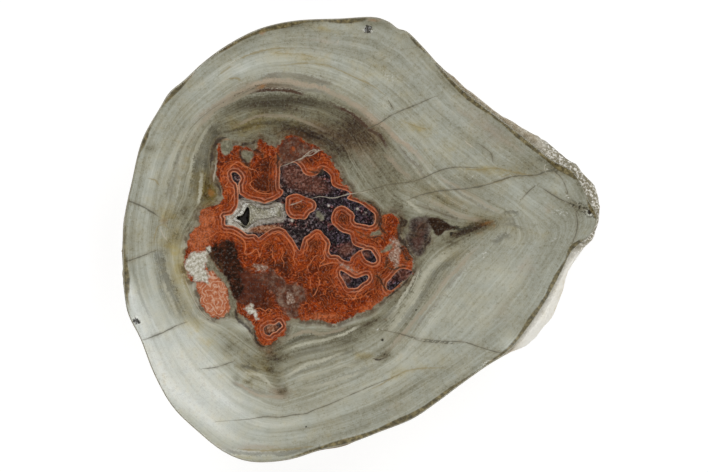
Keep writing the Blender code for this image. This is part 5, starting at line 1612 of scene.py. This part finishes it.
core = steps.mix(patch("quartz", 0.5, 0.2, 0.06), red, quartz)
for name, tint, size, fray, softness, share in (
    ("maroon", maroon, 1.8, 3.0, 0.7, 0.9), ("mauve", mauve, 1.6, 3.0, 0.6, 0.9),
    ("salmon", salmon, 1.4, 3.0, 0.5, 1.0), ("smoky", smoky, 1.3, 2.4, 0.5, 1.0),
    ("glassy", glassy, 0.8, 1.6, 0.35, 0.95), ("white", white, 1.1, 2.6, 0.45, 1.0),
    ("pinkish", blush, 0.9, 2.2, 0.4, 0.85),
):
    core = steps.mix(steps.times(patch(name, size, fray, softness), share), core, tint)
core = steps.mix(steps.times(stained, 0.8), core,
                 fibres(colour(120, 48, 14), colour(178, 86, 34), colour(206, 130, 76), 0.6))
core_mask = patch("core", 1.1, 2.0, 0.22)
fringe = steps.times(steps.step(1.4, 0.1, steps.math("ABSOLUTE", steps.plus(stored["core"], 0.4))),
                     steps.step(0.42, 0.56, mottle))
surface = steps.mix(steps.times(fringe, 0.65), grey, colour(62, 46, 32))
surface = steps.mix(patch("tail", 1.4, 2.2, 0.6), surface, tail)
surface = steps.mix(patch("clump", 1.0, 1.0, 0.25), surface, clump)
surface = steps.mix(patch("glassy", 0.8, 0.6, 0.2), surface, glassy)
surface = steps.mix(core_mask, surface, core)
count_nodes("the core")

# %% Cracks, veins and pale lines
for name, tint, halo, strength, uneven in (
    ("seam", colour(44, 28, 22), 0.2, 0.8, 0.9), ("vein", colour(150, 134, 88), 0.1, 0.6, 0.9),
    ("pale_line", colour(200, 190, 170), 0.0, 0.65, 0.9), ("crack", colour(88, 86, 72), 0.25, 0.7, 0.9),
):
    inputs = {"place": place, "side": stored[name], "away": stored[name + "_away"], "uneven": uneven}
    if halo:
        around = use_group(steps, thin_line, "Halo", **inputs)
        surface = steps.mix(steps.times(around, halo), surface, steps.mix(0.5, tint, colour(150, 124, 78)))
    surface = steps.mix(steps.times(use_group(steps, thin_line, "Mask", **inputs), strength), surface, tint)
count_nodes("the thin lines")

# %% Dark pits and white specks
PITS = [
    (2, 52.7, 1), (2.5, 53.1, 0.45), (-56, -20.3, 0.8), (-55.3, -20.6, 0.4), (57.6, 7.1, 0.65),
    (58.7, 5.8, 0.35), (5.6, -25, 0.35), (14, -17.5, 0.2), (-13.5, -46.7, 0.2), (-10, 16.4, 0.4),
    (22.8, 1.5, 0.4),
]
ragged = steps.swing(steps.noise(place, 0.5, 3.0, roughness=0.65), 1.8)
# The first six spots are the three holes at the edge of the face, painted nearly black as painted shade
# inside them; the others are small dark pits and spots.
hole_shade_and_dark_spots = steps.step(1.25, 0.7, steps.plus(nearest_spot(PITS), ragged))
surface = steps.mix(steps.times(hole_shade_and_dark_spots, 0.9), surface, colour(34, 28, 22))
specks = steps.noise(place, 0.6, 3.0, roughness=0.6)
surface = steps.mix(steps.times(steps.step(0.52, 0.6, specks), steps.step(0.1, 1.0, stored["pitted"])),
                    surface, colour(46, 40, 32))
white_specks = steps.times(steps.step(0.46, 0.38, specks),
                           steps.step(0.1, 1.2, stored["sparkling"], 0.06, 1.0))
surface = steps.mix(white_specks, surface, colour(226, 226, 216))
count_nodes("the specks")

# %% The rind
rind_noise = steps.noise(place, 7.0, 5.0, roughness=0.62)
rind_fine = steps.noise(place, 1.1, 4.0, roughness=0.65)
rind_tone = steps.plus(steps.times(rind_noise, 0.75), steps.times(rind_fine, 0.45), -0.1)
rind = steps.ramp(rind_tone, [
    (0.2, 92, 72, 52), (0.36, 150, 128, 98), (0.48, 188, 176, 152), (0.6, 212, 206, 190),
    (0.85, 226, 222, 210),
])
rind_depth = steps.math("SUBTRACT", FACE_HEIGHT, steps.add("SeparateXYZ", {"Vector": place}, output="Z"))
near_face = steps.step(16.0, 5.0, steps.plus(rind_depth, steps.swing(rind_noise, 14.0)))
tip = steps.times(steps.step(43.0, 48.0, spot_x), steps.step(-5.0, 0.0, spot_y), near_face)
# The rind at the narrow end and the lower right is cream, painted brighter, near white: partly its own pale
# colour, partly painted light on a slope that turns away from the lamps.
bulge = steps.times(steps.step(36.0, 42.0, spot_x), steps.step(2.0, -4.0, spot_y), near_face)
bulge = steps.math("MAXIMUM", tip, bulge)
cream_with_painted_light = steps.ramp(rind_tone, [(0.3, 226, 218, 196), (0.45, 250, 246, 234), (0.7, 255, 253, 246)])
rind = steps.mix(bulge, rind, cream_with_painted_light)
rind = steps.mix(steps.times(steps.step(0.38, 0.54, specks), steps.times(tip, 0.85)), rind,
                 colour(122, 112, 78))
rind_top = steps.step(0.9, 0.3, steps.plus(rind_depth, steps.swing(rind_fine, 0.5)), 0.0, 0.95)
rind_top = steps.times(rind_top, steps.plus(1.0, steps.times(tip, -0.6)))
rind_top = steps.times(rind_top, steps.step(-50.0, -75.0, steps.plus(spot_x, spot_y), 0.4, 0.25))
rim_reach_shade = steps.plus(stored["from_rim"], steps.swing(mottle, 0.8), steps.swing(cloud, 1.2))
rim_spread = steps.step(0.7, 1.2, stored["rim_brown"], 0.3, -1.3)
rim_dark = steps.times(steps.step(1.0, 0.3, steps.plus(rim_reach_shade, rim_spread)),
                       steps.step(0.3, 1.0, stored["rim_brown"], 0.1, 0.85))
rim_tint = steps.ramp(rind_fine, [(0.36, 62, 52, 28), (0.5, 98, 86, 52), (0.64, 144, 130, 88)])
surface = steps.mix(rim_dark, surface, rim_tint)
rind_mask = steps.step(0.3, 0.7, stored["rind"])
surface = steps.mix(rind_mask, surface, steps.mix(rind_top, rind, rim_tint))
count_nodes("the rind")

# %% Gloss and relief
POLISH, RIND_DULLNESS = 0.2, 0.6
gloss = steps.plus(POLISH, steps.swing(mottle, 0.08), steps.times(rind_mask, RIND_DULLNESS))
pitting = steps.plus(steps.times(rind_fine, 0.5), steps.times(rind_noise, 1.0))
relief_height = steps.times(pitting, rind_mask)
bump = steps.add("Bump", {"Height": relief_height, "Strength": 0.7, "Distance": 0.0008}, output="Normal")
finish.node_tree.links.new(surface, shader.inputs["Base Color"])
finish.node_tree.links.new(gloss, shader.inputs["Roughness"])
finish.node_tree.links.new(bump, shader.inputs["Normal"])
stone.data.materials.append(finish)
count_nodes("the gloss")

# %% [markdown]
# ## The crystals' material
# Milky quartz is white where it stands up. Deeper down it turns grey to brown as painted shade, where
# light hardly reaches: the colour follows the depth below the face, with the sparkle from before over it.

# %% White quartz
frost = bpy.data.materials.new("white_quartz_crystals")
frost.use_nodes = True
shader = frost.node_tree.nodes["Principled BSDF"]
steps = Steps(frost.node_tree)
place = place_in_mm(steps)
height = steps.add("SeparateXYZ", {"Vector": place}, output="Z")
east = steps.add("SeparateXYZ", {"Vector": place}, output="X")
north = steps.add("SeparateXYZ", {"Vector": place}, output="Y")
depth = steps.math("SUBTRACT", FACE_HEIGHT, height)
glint = use_group(steps, sparkle, "Brightness", place=place, size=0.36)
patchy = steps.noise(place, 1.6, 4.0, roughness=0.65)
# painted shade: darker with the depth below the face, most of all in the dark hole; the sparkle, the
# patches and the steps by east and north vary the crust's tone
shaded = steps.plus(steps.step(1.0, 3.2, depth, 0.0, 0.9), steps.swing(glint, -0.2),
                    steps.swing(patchy, -0.55),
                    steps.step(-28.6, -27.6, east, 0.06, 0.32), steps.step(-25.5, -22.0, east, 0.0, -0.1),
                    steps.step(-21.4, -19.4, east, 0.0, 0.3), steps.step(4.8, 3.6, north, 0.0, 0.25))
milk_and_depth_shade = steps.ramp(shaded, [
    (0.0, 218, 216, 208), (0.2, 190, 186, 172), (0.4, 146, 140, 116), (0.6, 90, 82, 60),
    (0.85, 40, 32, 24),
])
frost.node_tree.links.new(milk_and_depth_shade, shader.inputs["Base Color"])
frost.node_tree.links.new(steps.plus(0.4, steps.swing(glint, 0.2)), shader.inputs["Roughness"])
crust.data.materials.append(frost)
print("nodes in the crystals' material:", len(frost.node_tree.nodes))

# %% [markdown]
# ## Join the new pieces to the packed model
# Both pieces move with the one body and stand for the packed nodes in the same places, which
# are hidden.

# %% Rides and replacements
for piece, node, slot in ((stone, "stone", "banded_stone"), (crust, "quartz_crust", "white_quartz")):
    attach(piece, "root")
    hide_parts(node)
print("joined:", stone.name, "and", crust.name)

# %% [markdown]
# ## Floor, light and camera
# The stone lies on a white sheet under soft light from all sides. Lamps straight above would
# mirror in the polish, so four large ones stand in a ring at 60 degrees, and a fifth stands low
# beside the narrow end. The sheet glows a little, as paper lit from behind does, so that the
# shadow stays faint.

# %% The white sheet
SHEET_REACH, SHEET_GREY, SHEET_GLOW = 3.0, 0.36, 0.79
floor_mesh = bpy.data.meshes.new("white_sheet")
sheet_corners = [(SHEET_REACH * x, SHEET_REACH * y, 0.0) for x, y in ((-1, -1), (1, -1), (1, 1), (-1, 1))]
floor_mesh.from_pydata(sheet_corners, [], [(0, 1, 2, 3)])
floor = bpy.data.objects.new("white_sheet", floor_mesh)
bpy.context.scene.collection.objects.link(floor)
paper = bpy.data.materials.new("white_paper")
paper.use_nodes = True
sheet_shader = paper.node_tree.nodes["Principled BSDF"]
sheet_shader.inputs["Base Color"].default_value = (SHEET_GREY, SHEET_GREY, SHEET_GREY, 1.0)
sheet_shader.inputs["Roughness"].default_value = 0.9
sheet_shader.inputs["Specular IOR Level"].default_value = 0.0
sheet_shader.inputs["Emission Color"].default_value = (1.0, 1.0, 1.0, 1.0)
sheet_shader.inputs["Emission Strength"].default_value = SHEET_GLOW
floor_mesh.materials.append(paper)
print("the sheet is", 2 * SHEET_REACH, "m wide")

# %% The lamps
LAMP_DISTANCE, LAMP_SIZE, ROOM_LIGHT = 1.3, 0.5, 0.04
LAMPS = [   # turn and rise in degrees, power in watts
    (50, 60, 4.3), (130, 60, 4.3), (230, 60, 2.9), (310, 60, 2.9), (335, 12, 2.6),
]
for number, (azimuth, rise, power) in enumerate(LAMPS, start=1):
    lamp = bpy.data.lights.new(f"softbox_{number}", "AREA")
    lamp.energy, lamp.shape, lamp.size = power, "DISK", LAMP_SIZE
    holder = bpy.data.objects.new(lamp.name, lamp)
    turn, lift = math.radians(azimuth), math.radians(rise)
    across, height = LAMP_DISTANCE * math.cos(lift), LAMP_DISTANCE * math.sin(lift)
    holder.location = (across * math.cos(turn), across * math.sin(turn), height)
    holder.rotation_mode = "QUATERNION"
    holder.rotation_quaternion = holder.location.to_track_quat("Z", "Y")
    bpy.context.scene.collection.objects.link(holder)
world = bpy.data.worlds.new("studio")
world.use_nodes = True
world.node_tree.nodes["Background"].inputs["Color"].default_value = (1.0, 1.0, 1.0, 1.0)
world.node_tree.nodes["Background"].inputs["Strength"].default_value = ROOM_LIGHT
bpy.context.scene.world = world
bpy.context.scene.view_settings.view_transform = "Standard"
print("lamps:", len(LAMPS))

# %% The camera
VIEW_WIDTH, CAMERA_DISTANCE, SENSOR_WIDTH = 0.177, 0.9, 36.0
camera_data = bpy.data.cameras.new("camera")
camera_data.sensor_width = SENSOR_WIDTH
camera_data.lens = SENSOR_WIDTH * CAMERA_DISTANCE / VIEW_WIDTH
camera = bpy.data.objects.new("camera", camera_data)
camera.location = (-0.0015, 0.001, FACE_HEIGHT * MM + CAMERA_DISTANCE)
bpy.context.scene.collection.objects.link(camera)
bpy.context.scene.camera = camera
print("the camera's angle of view is", round(math.degrees(camera_data.angle), 1), "degrees")
